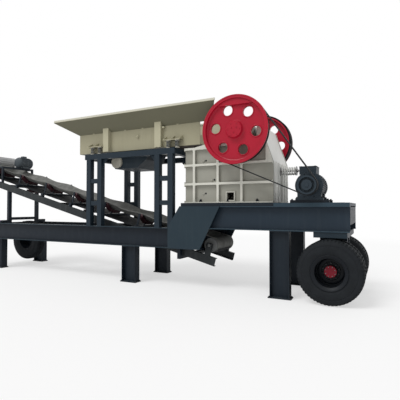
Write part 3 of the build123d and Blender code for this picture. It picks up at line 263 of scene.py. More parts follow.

# %% [markdown]
# Two finishes change with place or slope. The lip along the hopper's top edge is lightened, a
# painted highlight, and the belt's return run and underside are darkened, painted shade.

# %% Painted highlight on an edge and painted shade on the return run
def edge_highlight(material, height):
    """Lightens what lies above a height: a painted highlight along a plate's top edge."""
    tree, shader, place = opened(material)
    split = add_node(tree, "ShaderNodeSeparateXYZ", {"Vector": place})
    above = add_node(tree, "ShaderNodeMapRange", {
        "Value": split.outputs["Z"], "From Min": height - 0.003, "From Max": height + 0.003})
    lay_over(tree, shader, above.outputs["Result"], "#cbc9ba")


def shade_return_run(material, colour, origin, off, lift):
    """Painted shade on a belt where it looks straight down, and on all of it below a height off its
    line.
    """
    tree, shader, place = opened(material)
    normal = add_node(tree, "ShaderNodeNewGeometry")
    split = add_node(tree, "ShaderNodeSeparateXYZ", {"Vector": normal.outputs["True Normal"]})
    down = add_node(tree, "ShaderNodeMapRange", {
        "Value": split.outputs["Z"], "From Min": -0.3, "From Max": -0.5})
    aside = add_node(tree, "ShaderNodeMath", {0: split.outputs["Y"]}, operation="ABSOLUTE")
    level = add_node(tree, "ShaderNodeMapRange", {
        "Value": aside.outputs["Value"], "From Min": 0.35, "From Max": 0.15})
    underside_shade = add_node(tree, "ShaderNodeMath", {
        0: down.outputs["Result"], 1: level.outputs["Result"]}, operation="MULTIPLY")
    moved = add_node(tree, "ShaderNodeVectorMath", {0: place, 1: tuple(origin)},
                     operation="SUBTRACT")
    height = add_node(tree, "ShaderNodeVectorMath", {0: moved.outputs["Vector"], 1: tuple(off)},
                      operation="DOT_PRODUCT")
    low = add_node(tree, "ShaderNodeMapRange", {
        "Value": height.outputs["Value"], "From Min": lift + 0.02, "From Max": lift - 0.02})
    return_shade_mask = add_node(tree, "ShaderNodeMath", {
        0: underside_shade.outputs["Value"], 1: low.outputs["Result"]}, operation="MAXIMUM")
    lay_over(tree, shader, return_shade_mask.outputs["Value"], colour)


# A painted highlight along the flare's top lip.
edge_highlight(olive_enamel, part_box("feeder_flares")[1].z - 0.041)

# %% [markdown]
# Rubber is a dull, nearly black polymer. On a tyre it is moulded, and in use it greys with dust
# that the tread carries. A belt is dusted with the stone that it moves. Both stay rough, with the
# low reflection of any plastic. Their grain is really under a millimetre, and is drawn at about 10
# so that it shows.

# %% Rubber
def rubber(name, base, dust, amount, grain_mm):
    """Moulded or woven rubber with stone dust in its hollows."""
    material, tree, place = new_material(name)
    grains = add_node(tree, "ShaderNodeTexNoise", {"Vector": place, "Scale": 6.0, "Detail": 9.0})
    mask = add_node(tree, "ShaderNodeMapRange", {
        "Value": grains.outputs["Fac"], "From Min": 0.42, "From Max": 0.72, "To Max": amount})
    mixed = add_node(tree, "ShaderNodeMix", {
        "Factor": mask.outputs["Result"], "A": linear(base), "B": linear(dust)}, data_type="RGBA")
    fine = add_node(tree, "ShaderNodeTexNoise", {
        "Vector": place, "Scale": 1000 / grain_mm, "Detail": 4.0})
    bump = add_node(tree, "ShaderNodeBump", {
        "Height": fine.outputs["Fac"], "Strength": 0.25, "Distance": 0.003})
    shader = add_node(tree, "ShaderNodeBsdfPrincipled", {
        "Base Color": mixed.outputs["Result"], "Roughness": 0.75, "Specular IOR Level": 0.25,
        "Normal": bump.outputs["Normal"]})
    add_node(tree, "ShaderNodeOutputMaterial", {"Surface": shader.outputs["BSDF"]})
    return material


tyre_rubber = rubber("moulded_tyre_rubber", "#111519", "#22262a", 0.4, 12)
drive_rubber = rubber("v_belt_rubber", "#15181b", "#2e2f30", 0.4, 8)
conveyor_rubber = rubber("conveyor_belt_rubber", "#686966", "#868683", 0.8, 14)

# %% [markdown]
# A few pieces stay bare: the turned shaft and rod, cast manganese steel where stone rubs it
# bright, and blackened bolts. Bare metal has no paint layer, so it is metallic, with a roughness
# that changes over its surface. Tool marks and casting grain are drawn coarser than life, at 6 to
# 10 mm.

# %% Bare metal
def bare_metal(name, base, stain, rough, grain_mm):
    """Turned, cast or rolled steel without paint."""
    material, tree, place = new_material(name)
    grains = add_node(tree, "ShaderNodeTexNoise", {"Vector": place, "Scale": 7.0, "Detail": 7.0})
    mixed = add_node(tree, "ShaderNodeMix", {
        "Factor": grains.outputs["Fac"], "A": linear(base), "B": linear(stain)}, data_type="RGBA")
    gloss = add_node(tree, "ShaderNodeMapRange", {
        "Value": grains.outputs["Fac"], "To Min": rough - 0.12, "To Max": rough + 0.2})
    fine = add_node(tree, "ShaderNodeTexNoise", {
        "Vector": place, "Scale": 1000 / grain_mm, "Detail": 5.0})
    bump = add_node(tree, "ShaderNodeBump", {
        "Height": fine.outputs["Fac"], "Strength": 0.2, "Distance": 0.002})
    shader = add_node(tree, "ShaderNodeBsdfPrincipled", {
        "Base Color": mixed.outputs["Result"], "Metallic": 0.85,
        "Roughness": gloss.outputs["Result"], "Normal": bump.outputs["Normal"]})
    add_node(tree, "ShaderNodeOutputMaterial", {"Surface": shader.outputs["BSDF"]})
    return material


turned_steel = bare_metal("turned_carbon_steel", "#9a9b9c", "#6f6e6b", 0.4, 6)
wear_steel = bare_metal("cast_manganese_steel", "#6b6763", "#4c4540", 0.6, 10)
bolt_steel = bare_metal("blackened_bolt_steel", "#4a4c4f", "#2f3032", 0.5, 6)

finishes = {
    "frame_paint": slate_enamel, "crusher_paint": cream_enamel, "feeder_paint": olive_enamel,
    "red_paint": red_enamel, "tyre_rubber": tyre_rubber, "rim_paint": rim_enamel,
    "wear_iron": wear_steel, "machined_steel": turned_steel, "belt_rubber": drive_rubber,
    "motor_paint": motor_enamel, "cover_paint": cover_enamel, "roller_paint": roller_enamel,
    "drum_steel": drum_enamel, "chute_steel": chute_enamel,
}

# %% [markdown]
# Each imported piece already names its slot in the plant's record. A dictionary from slot to finish
# paints them all at once, and a few pieces then get a finish of their own. Some of these are
# lighter
# or darker copies of one paint: painted light and painted shade.

# %% Paint the imported pieces
for part in frame["record"]["subparts"]:
    shape = nodes[part["node"]]
    shape.data.materials.clear()
    shape.data.materials.append(finishes[part["material_slot"]])
for name, finish in (("conveyor_belt", conveyor_rubber), ("near_hub_cap", hub_enamel),
                     ("far_hub_cap", hub_enamel), ("conveyor_frame", stringer_enamel),
                     ("support_legs", shaded_leg_enamel), ("crusher_base_rails", shaded_leg_enamel),
                     ("crusher_end_walls", lit_wall_enamel), ("feeder_stiffeners", stiffener_enamel),
                     ("conveyor_pulleys", chute_enamel), ("cheek_plates", wear_steel),
                     ("high_beams", lit_deck_enamel), ("rear_deck", lit_deck_enamel),
                     ("ladder_posts", shaded_tower_enamel), ("tower_top_frame", shaded_tower_enamel),
                     ("magnet_motor", small_motor_enamel)):
    nodes[name].data.materials[0] = finish
print("painted", len(nodes), "pieces")

# %% [markdown]
# Added pieces are shaped with the same few moves as by hand. A turned piece starts as one point,
# which is extruded along its outline and spun round an axis. Fasteners are modelled once, with a
# chamfered head, and copied. Every finished piece has its place put into its mesh, so that
# patterns in its paint stay in scale, and is then fastened to the body that carries it.

# %% Modelling helpers
def begin():
    """Deselects everything, so that the next operator acts on one new piece."""
    bpy.ops.object.select_all(action="DESELECT")


def take(piece):
    """Selects one piece alone, for the next operator."""
    begin()
    piece.select_set(True)
    bpy.context.view_layer.objects.active = piece


def leave():
    """Goes back to object mode, in which the mesh can be read and measured."""
    bpy.ops.object.mode_set(mode="OBJECT")


def leave_outwards():
    """Turns all faces of a closed shape outwards, and goes back to object mode."""
    bpy.ops.mesh.select_all(action="SELECT")
    bpy.ops.mesh.normals_make_consistent(inside=False)
    leave()


def keep_turn_and_scale():
    """Puts a new primitive's turn and scale into its mesh, and gives the piece."""
    bpy.ops.object.transform_apply(location=False, rotation=True, scale=True)
    return bpy.context.object


def join(pieces):
    """Several pieces made into one."""
    take(pieces[0])
    for piece in pieces[1:]:
        piece.select_set(True)
    bpy.ops.object.join()
    return pieces[0]


def settle(piece, name, finish, slot, body, *stands_for, smooth=32):
    """Puts a finished piece's place into its mesh, paints it, and fastens it to its body."""
    take(piece)
    bpy.ops.object.transform_apply(location=True, rotation=True, scale=True)
    bpy.ops.object.shade_smooth_by_angle(angle=radians(smooth))
    piece.name = name
    piece.data.materials.clear()
    piece.data.materials.append(finish)
    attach(piece, body)
    if stands_for:
        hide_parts(*stands_for)
    piece.select_set(False)
    print(name, len(piece.data.polygons), "faces")


def copy_of(piece, move):
    """A copy with its own mesh, moved by a vector."""
    take(piece)
    bpy.ops.object.duplicate()
    twin = bpy.context.view_layer.objects.active
    twin.location += Vector(move)
    return twin


def turned(profile, centre, steps=96, side=1):
    """Spins an outline of places along Y and radii round a centre. Side -1 mirrors it."""
    begin()
    profile = [(side * y, r) for y, r in profile]
    start = Vector(centre) + Vector((0, profile[0][0], profile[0][1]))
    bpy.ops.mesh.primitive_plane_add(size=0.01, location=start)
    bpy.ops.object.mode_set(mode="EDIT")
    bpy.ops.mesh.select_mode(type="VERT")
    bpy.ops.mesh.select_all(action="SELECT")
    bpy.ops.mesh.merge(type="CENTER")
    for (y0, r0), (y1, r1) in zip(profile, profile[1:] + profile[:1]):
        bpy.ops.mesh.extrude_region_move(TRANSFORM_OT_translate={"value": (0, y1 - y0, r1 - r0)})
    bpy.ops.mesh.select_all(action="SELECT")
    bpy.ops.mesh.remove_doubles(threshold=1e-5)
    bpy.ops.mesh.spin(steps=steps, angle=2 * pi, center=centre, axis=(0, 1, 0))
    bpy.ops.mesh.select_all(action="SELECT")
    bpy.ops.mesh.remove_doubles(threshold=1e-5)
    leave_outwards()
    return bpy.context.object


def pick(piece, kind, mode, test):
    """Selects a piece's faces, edges or points that pass a test, and goes to edit mode."""
    bpy.ops.object.mode_set(mode="EDIT")
    bpy.ops.mesh.select_mode(type=mode)
    bpy.ops.mesh.select_all(action="DESELECT")
    leave()
    for item in getattr(piece.data, kind):
        item.select = test(item)
    bpy.ops.object.mode_set(mode="EDIT")


def faces_where(piece, test):
    """Selects a piece's faces by their middle and normal."""
    pick(piece, "polygons", "FACE",
         lambda face: test(piece.matrix_world @ face.center, face.normal))


def points_where(piece, test):
    """Selects a piece's points by their place."""
    pick(piece, "vertices", "VERT", lambda point: test(piece.matrix_world @ point.co))


def bolt_heads(places, facing, width, height, sides=6):
    """Chamfered bolt heads that face one way, at each of several places."""
    begin()
    facing = Vector(facing).normalized()
    bpy.ops.mesh.primitive_cylinder_add(
        vertices=sides, radius=width / 2, depth=height,
        location=Vector(places[0]) + facing * height / 2,
        rotation=facing.to_track_quat("Z", "Y").to_euler())
    piece = keep_turn_and_scale()
    faces_where(piece, lambda middle, normal: normal.dot(facing) > 0.9)
    bpy.ops.mesh.bevel(offset=width * 0.12, segments=1, affect="EDGES")
    bpy.ops.mesh.select_all(action="SELECT")
    for before, after in zip(places, places[1:]):
        bpy.ops.mesh.duplicate_move(
            TRANSFORM_OT_translate={"value": Vector(after) - Vector(before)})
    leave()
    return piece


def ring_of(centre, radius, count, phase=0.0):
    """Places on a circle round the Y axis through a centre."""
    turns = [radians(phase) + 2 * pi * k / count for k in range(count)]
    return [Vector(centre) + Vector((radius * cos(t), 0, radius * sin(t))) for t in turns]


def trimmed_box(corner, opposite, edge=0.004):
    """A plate or block with its edges broken, as a grinder leaves them."""
    begin()
    a, b = Vector(corner), Vector(opposite)
    bpy.ops.mesh.primitive_cube_add(size=1, location=(a + b) / 2, scale=b - a)
    piece = keep_turn_and_scale()
    broken = piece.modifiers.new("broken_edges", "BEVEL")
    broken.width = edge
    broken.segments = 2
    bpy.ops.object.modifier_apply(modifier="broken_edges")
    return piece


# %% [markdown]
# A road tyre is moulded rubber: a flat side wall with a bead at the rim, a bulge, a rounded
# shoulder, and a tread of ribs that the shoulder blocks break up. Its outline is spun in 112
# steps, and on each shoulder every second step is then pushed in, which leaves 56 blocks a side,
# about 60 mm apart.

# %% Tyres
outer_half = [
    (-0.105, 0.256), (-0.121, 0.268), (-0.124, 0.290), (-0.1265, 0.300), (-0.131, 0.303),
    (-0.131, 0.308), (-0.128, 0.311), (-0.132, 0.320), (-0.138, 0.360),
    (-0.1395, 0.400), (-0.137, 0.432), (-0.131, 0.438), (-0.131, 0.446), (-0.133, 0.452),
    (-0.127, 0.480), (-0.121, 0.503), (-0.112, 0.520), (-0.098, 0.532), (-0.070, 0.5385),
    (-0.046, 0.5395), (-0.043, 0.528), (-0.035, 0.528), (-0.032, 0.5398), (-0.007, 0.540),
    (-0.004, 0.529),
]
tyre_outline = outer_half + [(-y, r) for y, r in reversed(outer_half)]
tyre_steps = 112


def road_tyre(centre):
    """One treaded tyre round its own centre."""
    centre = Vector(centre)
    piece = turned(tyre_outline, centre, tyre_steps)

    def shoulder_gap(middle, normal):
        side = abs(middle.y - centre.y)
        radius = ((middle.x - centre.x) ** 2 + (middle.z - centre.z) ** 2) ** 0.5
        step = int((atan2(middle.z - centre.z, middle.x - centre.x) / (2 * pi) % 1.0) * tyre_steps)
        return 0.050 < side < 0.124 and radius > 0.500 and step % 2 == 0
    faces_where(piece, shoulder_gap)
    bpy.ops.mesh.extrude_region_shrink_fatten(TRANSFORM_OT_shrink_fatten={"value": -0.011})
    leave()
    return piece


low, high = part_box("near_tyres")
tyre_inset = 0.1403
outer_y = low.y + tyre_inset
inner_y = high.y - tyre_inset
first = road_tyre((axle_x, outer_y, wheel_z))
low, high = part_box("spare_tyre")
second, third, fourth = [copy_of(first, (0, y - outer_y, 0))
                         for y in (inner_y, -outer_y, -inner_y)]
spare = copy_of(first, (low + high) / 2 - Vector((axle_x, outer_y, wheel_z)))
for pair, word in (([first, second], "near"), ([third, fourth], "far")):
    settle(join(pair), word + "_treaded_tyres", tyre_rubber, "tyre_rubber", word + "_wheels",
           word + "_tyres")
settle(spare, "spare_treaded_tyre", tyre_rubber, "tyre_rubber", "plant", "spare_tyre")

# %% [markdown]
# A truck rim is pressed steel: a barrel with a rolled lip that holds the tyre's bead, and a dished
# disc bolted to the hub. The lip is a small turned ring over the barrel's end, and so are the
# disc's ridge and the edge of each hand hole. Ten nuts hold the disc, and bright bolts the red cap.

# %% Rim lips, wheel nuts and cap bolts
sides = ((-1, "near"), (1, "far"))
rim_lip = [(-0.030, 0.236), (-0.006, 0.237), (0.012, 0.262), (0.021, 0.284), (0.023, 0.290),
           (0.021, 0.296), (0.015, 0.298), (0.008, 0.292), (0.006, 0.282), (-0.004, 0.256),
           (-0.030, 0.250)]
disc_ridge = [(0.0, 0.155), (0.006, 0.150), (0.012, 0.158), (0.014, 0.196), (0.010, 0.214),
              (0.0, 0.225)]
hand_hole = [(0.0, 0.022), (0.005, 0.021), (0.009, 0.027), (0.006, 0.034), (0.0, 0.036)]
lip_y = abs(outer_y) + 0.115
disc_y = 0.615
for side, word in sides:
    body = word + "_wheels"
    disc = (axle_x, side * disc_y, wheel_z)
    rings = [turned(rim_lip, (axle_x, side * lip_y, wheel_z), side=side),
             turned(disc_ridge, disc, 64, side)]
    rings += [turned(hand_hole, place, 20, side) for place in ring_of(disc, 0.188, 8, 10)]
    settle(join(rings), word + "_rim_lip_and_disc_ridges", rim_enamel, "rim_paint", body)
    nuts = bolt_heads(ring_of(disc, 0.132, 10, 18), (0, side, 0), 0.034, 0.030)
    settle(nuts, word + "_wheel_nuts", bolt_steel, "rim_paint", body)
    cap_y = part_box(word + "_hub_cap")[0 if side < 0 else 1].y
    bolts = bolt_heads(ring_of((axle_x, cap_y, wheel_z), 0.080, 8, 22), (0, side, 0), 0.018, 0.009)
    settle(bolts, word + "_cap_bolts", turned_steel, "machined_steel", body)

# %% [markdown]
# A flywheel is cast iron, machined on its rim and bore. The casting has a raised ring round each
# lightening hole, a fillet where the web meets the rim, a machined land along the rim's edge, and
# a stepped hub with rings of three and six bolts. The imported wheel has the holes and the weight,
# so these rings are added on it.

# %% Flywheel castings
hole_circle, hole_phase = 0.397, -8
web_face, rim_face = 0.900, 0.970
rim_inner = flywheel_radius - 0.062
hole_ring = [(0.0, 0.0955), (0.008, 0.0955), (0.011, 0.100), (0.011, 0.112), (0.0, 0.120)]
web_fillet = [(0.0, rim_inner - 0.028), (0.004, rim_inner - 0.015), (0.014, rim_inner - 0.006),
              (0.028, rim_inner), (0.0, rim_inner)]
rim_land = [(0.0, flywheel_radius - 0.030), (0.005, flywheel_radius - 0.026),
            (0.005, flywheel_radius - 0.008), (0.0, flywheel_radius - 0.003)]
hub_steps = [(0.0, 0.144), (0.0, 0.190), (0.008, 0.178), (0.020, 0.160), (0.040, 0.150),
             (0.060, 0.144)]
for side, word in sides:
    web = (shaft_x, side * web_face, shaft_z)
    castings = [turned(hole_ring, place, 48, side)
                for place in ring_of(web, hole_circle, 6, hole_phase)]
    castings += [turned(web_fillet, web, side=side),
                 turned(rim_land, (shaft_x, side * rim_face, shaft_z), side=side),
                 turned(hub_steps, web, side=side)]
    settle(join(castings), word + "_flywheel_cast_rings", red_enamel, "red_paint", "flywheels")
    hub = (shaft_x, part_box(word + "_flywheel")[0 if side < 0 else 1].y, shaft_z)
    heads = [bolt_heads(ring_of(hub, 0.055, 3, 30), (0, side, 0), 0.026, 0.010),
             bolt_heads(ring_of(hub, 0.115, 6, 0), (0, side, 0), 0.022, 0.009)]
    settle(join(heads), word + "_hub_cover_bolts", red_enamel, "red_paint", "flywheels")

# %% [markdown]
# A coil spring is round wire wound into a helix. A small circle is wound by the Screw modifier,
# which is applied, and the open ends are closed flat. The same function serves the feeder's soft
# springs and the stiff one on the jaw's tension rod, which is turned to lie along the plant.

# %% Coil springs
def coil(centre, height, radius, wire, turns):
    """An upright helix of round wire round its own centre."""
    begin()
    bpy.ops.mesh.primitive_circle_add(vertices=10, radius=wire, rotation=(pi / 2, 0, 0))
    piece = keep_turn_and_scale()
    bpy.ops.object.mode_set(mode="EDIT")
    bpy.ops.transform.translate(value=(radius, 0, 0))
    leave()
    wind = piece.modifiers.new("winding", "SCREW")
    wind.screw_offset = (height - 2 * wire) / turns
    wind.iterations = turns
    wind.steps = wind.render_steps = 20
    bpy.ops.object.modifier_apply(modifier="winding")
    bpy.ops.object.mode_set(mode="EDIT")
    bpy.ops.mesh.select_all(action="SELECT")
    bpy.ops.transform.translate(value=(0, 0, wire - height / 2))
    bpy.ops.mesh.fill_holes(sides=12)
    leave_outwards()
    piece.location = centre
    return piece


low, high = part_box("feeder_springs")
spring_reach, spring_pitch = 0.046, 0.210
spring_x = [low.x + spring_reach, low.x + spring_reach + spring_pitch,
            high.x - spring_reach - spring_pitch, high.x - spring_reach]
spring_y = high.y - spring_reach
height = high.z - low.z
middle_z = (low.z + high.z) / 2
first = coil((spring_x[0], -spring_y, middle_z), height, 0.036, 0.0095, 4)
moves = [(x - spring_x[0], y + spring_y, 0) for y in (-spring_y, spring_y) for x in spring_x]
springs = [first] + [copy_of(first, move) for move in moves[1:]]
settle(join(springs), "feeder_coil_springs", chute_enamel, "cover_paint", "plant",
       "feeder_springs", smooth=60)

low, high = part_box("tension_spring")
strong = coil((low + high) / 2, high.x - low.x, 0.068, 0.014, 6)
strong.rotation_euler = (0, pi / 2, 0)
# The tension spring takes the lighter copy of the cream paint, painted light.
settle(strong, "tension_coil_spring", lit_wall_enamel, "cover_paint", "plant",
       "tension_spring", smooth=60)

# %% [markdown]
# A conveyor belt is one flat band of rubber and cloth. Rollers fold its carrying run into a
# trough, and between two sets of rollers its free edges sag a few centimetres, so the edge is a
# row of waves. An open cylinder has the same form as a band, so one is added, cut across in edit
# mode, and each of its points is moved to its place on the loop: along the run, round a pulley,
# and back below.

# %% Conveyor belt
slope = radians(14.7)
pulley_lift = 0.204
belt_radius = 0.156
foot_ahead, foot_z, tail_ahead = 2.190, 0.605, 2.320
tail_along = (tail_ahead - foot_ahead) / cos(slope) + pulley_lift * sin(slope) / cos(slope)
belt_run = 7.700
first_idler, idler_pitch, idler_count = 0.830, 1.020, 7
transition = 0.700
flat_half, wing, trough_lift = 0.150, 0.250, 0.221
trough_angle = radians(35)
middle_sag, edge_sag = 0.006, 0.034
belt_thickness, cuts_across = 0.012, 15
start = Vector((ahead(foot_ahead), 0, foot_z))
uphill = Vector((-cos(slope), 0, sin(slope)))
off_line = Vector((sin(slope), 0, cos(slope)))


def on_incline(along, across, lift):
    """A place given along the conveyor from its tail pulley, across it, and above its channels."""
    return start + uphill * (tail_along + along) + Vector((0, across, 0)) + off_line * lift


def carrying(along, across):
    """Where a point of the belt lies on the carrying run, a place along from the tail pulley."""
    side = 1 if across > 0 else -1
    out = max(abs(across) - flat_half, 0)
    folded_y = side * (min(abs(across), flat_half) + out * cos(trough_angle))
    folded_z = trough_lift + out * sin(trough_angle)
    level = pulley_lift + belt_radius
    share = min(along / transition, (belt_run - along) / transition, 1)
    step = (along - first_idler) / idler_pitch
    if 0 < step < idler_count - 1:
        sag = middle_sag + (edge_sag - middle_sag) * out / wing
        folded_z -= sin(pi * (step % 1)) ** 2 * sag
    return on_incline(along, across + (folded_y - across) * share,
                      level + (folded_z - level) * share)


upper, wrap, lower = 220, 16, 44
rounds = upper + 2 * wrap + lower


def on_loop(step, across):
    """A point of the belt from its number of steps round the loop and its place across."""
    if step <= upper:
        return carrying(belt_run * step / upper, across)
    if step < upper + wrap:
        turn = pi / 2 - pi * (step - upper) / wrap
        return on_incline(belt_run + belt_radius * cos(turn), across,
                          pulley_lift + belt_radius * sin(turn))
    if step <= upper + wrap + lower:
        along = belt_run * (1 - (step - upper - wrap) / lower)
        return on_incline(along, across, pulley_lift - belt_radius)
    turn = -pi / 2 - pi * (step - upper - wrap - lower) / wrap
    return on_incline(belt_radius * cos(turn), across, pulley_lift + belt_radius * sin(turn))


def runs_across(edge):
    """Whether an edge of the band goes from one of its sides to the other."""
    a, b = (belt.data.vertices[k].co for k in edge.vertices)
    return abs(a.y - b.y) > 0.1


begin()
bpy.ops.mesh.primitive_cylinder_add(vertices=rounds, radius=1, depth=2 * (flat_half + wing),
                                    end_fill_type="NOTHING", rotation=(pi / 2, 0, 0))
belt = keep_turn_and_scale()
pick(belt, "edges", "EDGE", runs_across)
bpy.ops.mesh.subdivide(number_cuts=cuts_across)
leave()
for point in belt.data.vertices:
    turn = atan2(point.co.z, point.co.x) / (2 * pi) % 1.0
    point.co = on_loop(round(turn * rounds) % rounds, point.co.y)
thicken = belt.modifiers.new("rubber_and_cloth", "SOLIDIFY")
thicken.thickness = belt_thickness
thicken.offset = 0
bpy.ops.object.modifier_apply(modifier="rubber_and_cloth")
bpy.ops.object.mode_set(mode="EDIT")
leave_outwards()
# Painted shade on the belt's underside and on its return run.
shade_return_run(conveyor_rubber, "#1e1f21", start, off_line, 0.12)
settle(belt, "sagging_conveyor_belt", conveyor_rubber, "belt_rubber", "plant", "conveyor_belt")

# %% [markdown]
# The crusher's liners are held by bolts through the side walls, and small steel wedges lock the
# lower ones. The bearing housings are closed by bolted rings. These break up the plain walls: a
# bolt with a thin black disc beside it, painted shade for its hole, a wedge in a corner of a
# pocket, and a turned ring with eight bolts.

# %% Liner bolts, wedges and bearing rings
web_y = 0.560
liner_bolts = ((2.392, 2.541), (2.206, 2.153), (2.394, 1.884))
bolt_shift = 0.025
wedge_places = (2.478, 1.888, 1.300)
wedge_half, wedge_depth = 0.028, 0.038
wedge_low, wedge_waist, wedge_high = 1.7225, 1.750, 1.775
bearing_ring = [(0.0, 0.074), (0.010, 0.074), (0.014, 0.080), (0.014, 0.180), (0.010, 0.188),
                (0.0, 0.188)]
ring_depth = 0.014
for side, word in sides:
    heads = bolt_heads([(ahead(a + bolt_shift), side * web_y, z) for a, z in liner_bolts],
                       (0, side, 0), 0.036, 0.022)
    settle(heads, word + "_liner_bolts", cream_enamel, "crusher_paint", "plant")
    # A thin black disc beside each bolt is painted shade for its hole.
    hole_shade_discs = bolt_heads([(ahead(a - bolt_shift), side * web_y, z + 0.006) for a, z in liner_bolts],
                       (0, side, 0), 0.040, 0.004, 20)
    settle(hole_shade_discs, word + "_liner_bolt_hole_shade", rim_enamel, "rim_paint", "plant")
    wedges = []
    for place in wedge_places:
        block = trimmed_box((ahead(place + wedge_half), side * web_y, wedge_low),
                            (ahead(place - wedge_half), side * (web_y + wedge_depth), wedge_high),
                            0.002)
        points_where(block, lambda p: p.z > wedge_waist)
        bpy.ops.transform.resize(value=(0.3, 1, 1),
                                 center_override=(ahead(place), 0, wedge_waist))
        leave()
        wedges.append(block)
    settle(join(wedges), word + "_liner_wedges", rim_enamel, "rim_paint", "plant")
    housing_face = abs(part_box("bearing_housings")[0].y)
    cover = turned(bearing_ring, (shaft_x, side * housing_face, shaft_z), 64, side)
    front = (shaft_x, side * (housing_face + ring_depth), shaft_z)
    heads = bolt_heads(ring_of(front, 0.165, 8, 22.5), (0, side, 0), 0.028, 0.012)
    settle(join([cover, heads]), word + "_bearing_ring", lit_wall_enamel, "crusher_paint", "plant")
rear_wall_x = ahead(1.0) + 0.0405
rows = [(rear_wall_x, y, z) for y in (-0.33, 0.13, 0.33) for z in (1.79, 2.13, 2.40)]
settle(bolt_heads(rows, (1, 0, 0), 0.034, 0.020), "rear_wall_studs", lit_wall_enamel, "crusher_paint",
       "plant")

# %% [markdown]
# The feeder rests on four small shelves, each on two coil springs. A shelf is a plate with
# triangular gussets, and each spring sits between two cups. The trough's side has a few bosses and
# clips from its making, and the exciter's round covers are bolted on.

# %% Feeder shelves, spring cups and exciter bolts
wall_y, shelf_y, spring_line = 0.620, 0.756, 0.694
shelf_top, shelf_low = 3.010, 2.990
spring_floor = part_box("feeder_springs")[0].z
shelf_middles = (5.105, 3.060)
gusset_thick, gusset_rise, gusset_nose = 0.012, 0.085, 0.014
boss_depth, boss_place = 0.030, (3.988, 3.159)
clip_places = (2.984, 3.860, 4.330, 5.240)
exciter_cap = [(0.0, 0.0), (0.006, 0.0), (0.006, 0.050), (0.003, 0.056), (0.0, 0.056)]


def gusset(x, y0, y1, z0, z1):
    """A triangular plate across the plant, upright at y0 and down to a small nose at y1."""
    plate = trimmed_box((x - gusset_thick / 2, y0, z0), (x + gusset_thick / 2, y1, z1), 0.0015)
    far = (y1 - y0) / abs(y1 - y0)
    points_where(plate, lambda p: p.z > (z0 + z1) / 2 and (p.y - (y0 + y1) / 2) * far > 0)
    bpy.ops.transform.translate(value=(0, 0, z0 + gusset_nose - z1))
    leave()
    return plate


for side, word in sides:
    plates, cups, heads = [], [], []
    for middle in shelf_middles:
        for shift in (-0.192, 0.0, 0.192):
            plates.append(gusset(ahead(middle) + shift, side * wall_y, side * shelf_y,
                                 shelf_top - 0.001, shelf_top + gusset_rise))
        spots = [(ahead(middle) + shift, side * spring_line) for shift in (-0.105, 0.105)]
        for floor_z, up in ((spring_floor, 1), (shelf_low, -1)):
            cups.append(bolt_heads([(x, y, floor_z) for x, y in spots], (0, 0, up), 0.106, 0.016,
                                   28))
        heads.append(bolt_heads([(x, y, shelf_top) for x, y in spots], (0, 0, 1), 0.032, 0.018))
    settle(join(plates), word + "_shelf_gussets", stiffener_enamel, "feeder_paint", "plant")
    settle(join(cups), word + "_spring_cups", cover_enamel, "cover_paint", "plant", smooth=40)
    settle(join(heads), word + "_shelf_bolts", cover_enamel, "cover_paint", "plant")
    x, z = ahead(boss_place[0]), boss_place[1]
    bosses = [bolt_heads([(x, side * wall_y, z)], (0, side, 0), 0.066, boss_depth, 24),
              bolt_heads([(x, side * (wall_y + boss_depth), z)], (0, side, 0), 0.034, 0.016),
              trimmed_box((ahead(3.335), side * wall_y, 3.270),
                          (ahead(3.285), side * (wall_y + 0.062), 3.312), 0.004)]
    for place in clip_places:
        bosses.append(trimmed_box((ahead(place + 0.022), side * wall_y, 3.322),
                                  (ahead(place - 0.022), side * (wall_y + 0.018), 3.340), 0.003))
    settle(join(bosses), word + "_trough_bosses", stiffener_enamel, "feeder_paint", "plant")
    spot = (ahead(4.745), side * abs(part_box("exciter_covers")[0].y), 2.670)
    heads = bolt_heads(ring_of(spot, 0.122, 8, 22.5), (0, side, 0), 0.024, 0.011)
    settle(join([turned(exciter_cap, spot, 40, side), heads]), word + "_exciter_cap_and_bolts",
           cover_enamel, "cover_paint", "plant")

# %% [markdown]
# An induction motor is cooled by thin fins along its frame. One fin is added and spun round the
# motor's axis as copies. The box that takes the cables has a screwed lid, an eye bolt is there for
# lifting, and the fan's cover has a grille of rings.

# %% Drive motor
def fins_round(centre, y0, y1, inner, outer, thick, count):
    """Thin fins that stand on a round frame whose axis lies across the plant."""
    begin()
    x, z = centre
    middle = (x, (y0 + y1) / 2, z + (inner + outer) / 2)
    bpy.ops.mesh.primitive_cube_add(size=1, location=middle, scale=(thick, y1 - y0, outer - inner))
    fin = keep_turn_and_scale()
    faces_where(fin, lambda centre_of_face, normal: normal.z > 0.9)
    bpy.ops.mesh.inset(thickness=thick * 0.2, depth=0)
    bpy.ops.transform.translate(value=(0, 0, thick * 0.3))
    bpy.ops.mesh.select_all(action="SELECT")
    bpy.ops.mesh.spin(steps=count - 1, angle=2 * pi * (count - 1) / count,
                      center=(x, (y0 + y1) / 2, z), axis=(0, 1, 0), dupli=True)
    leave()
    return fin


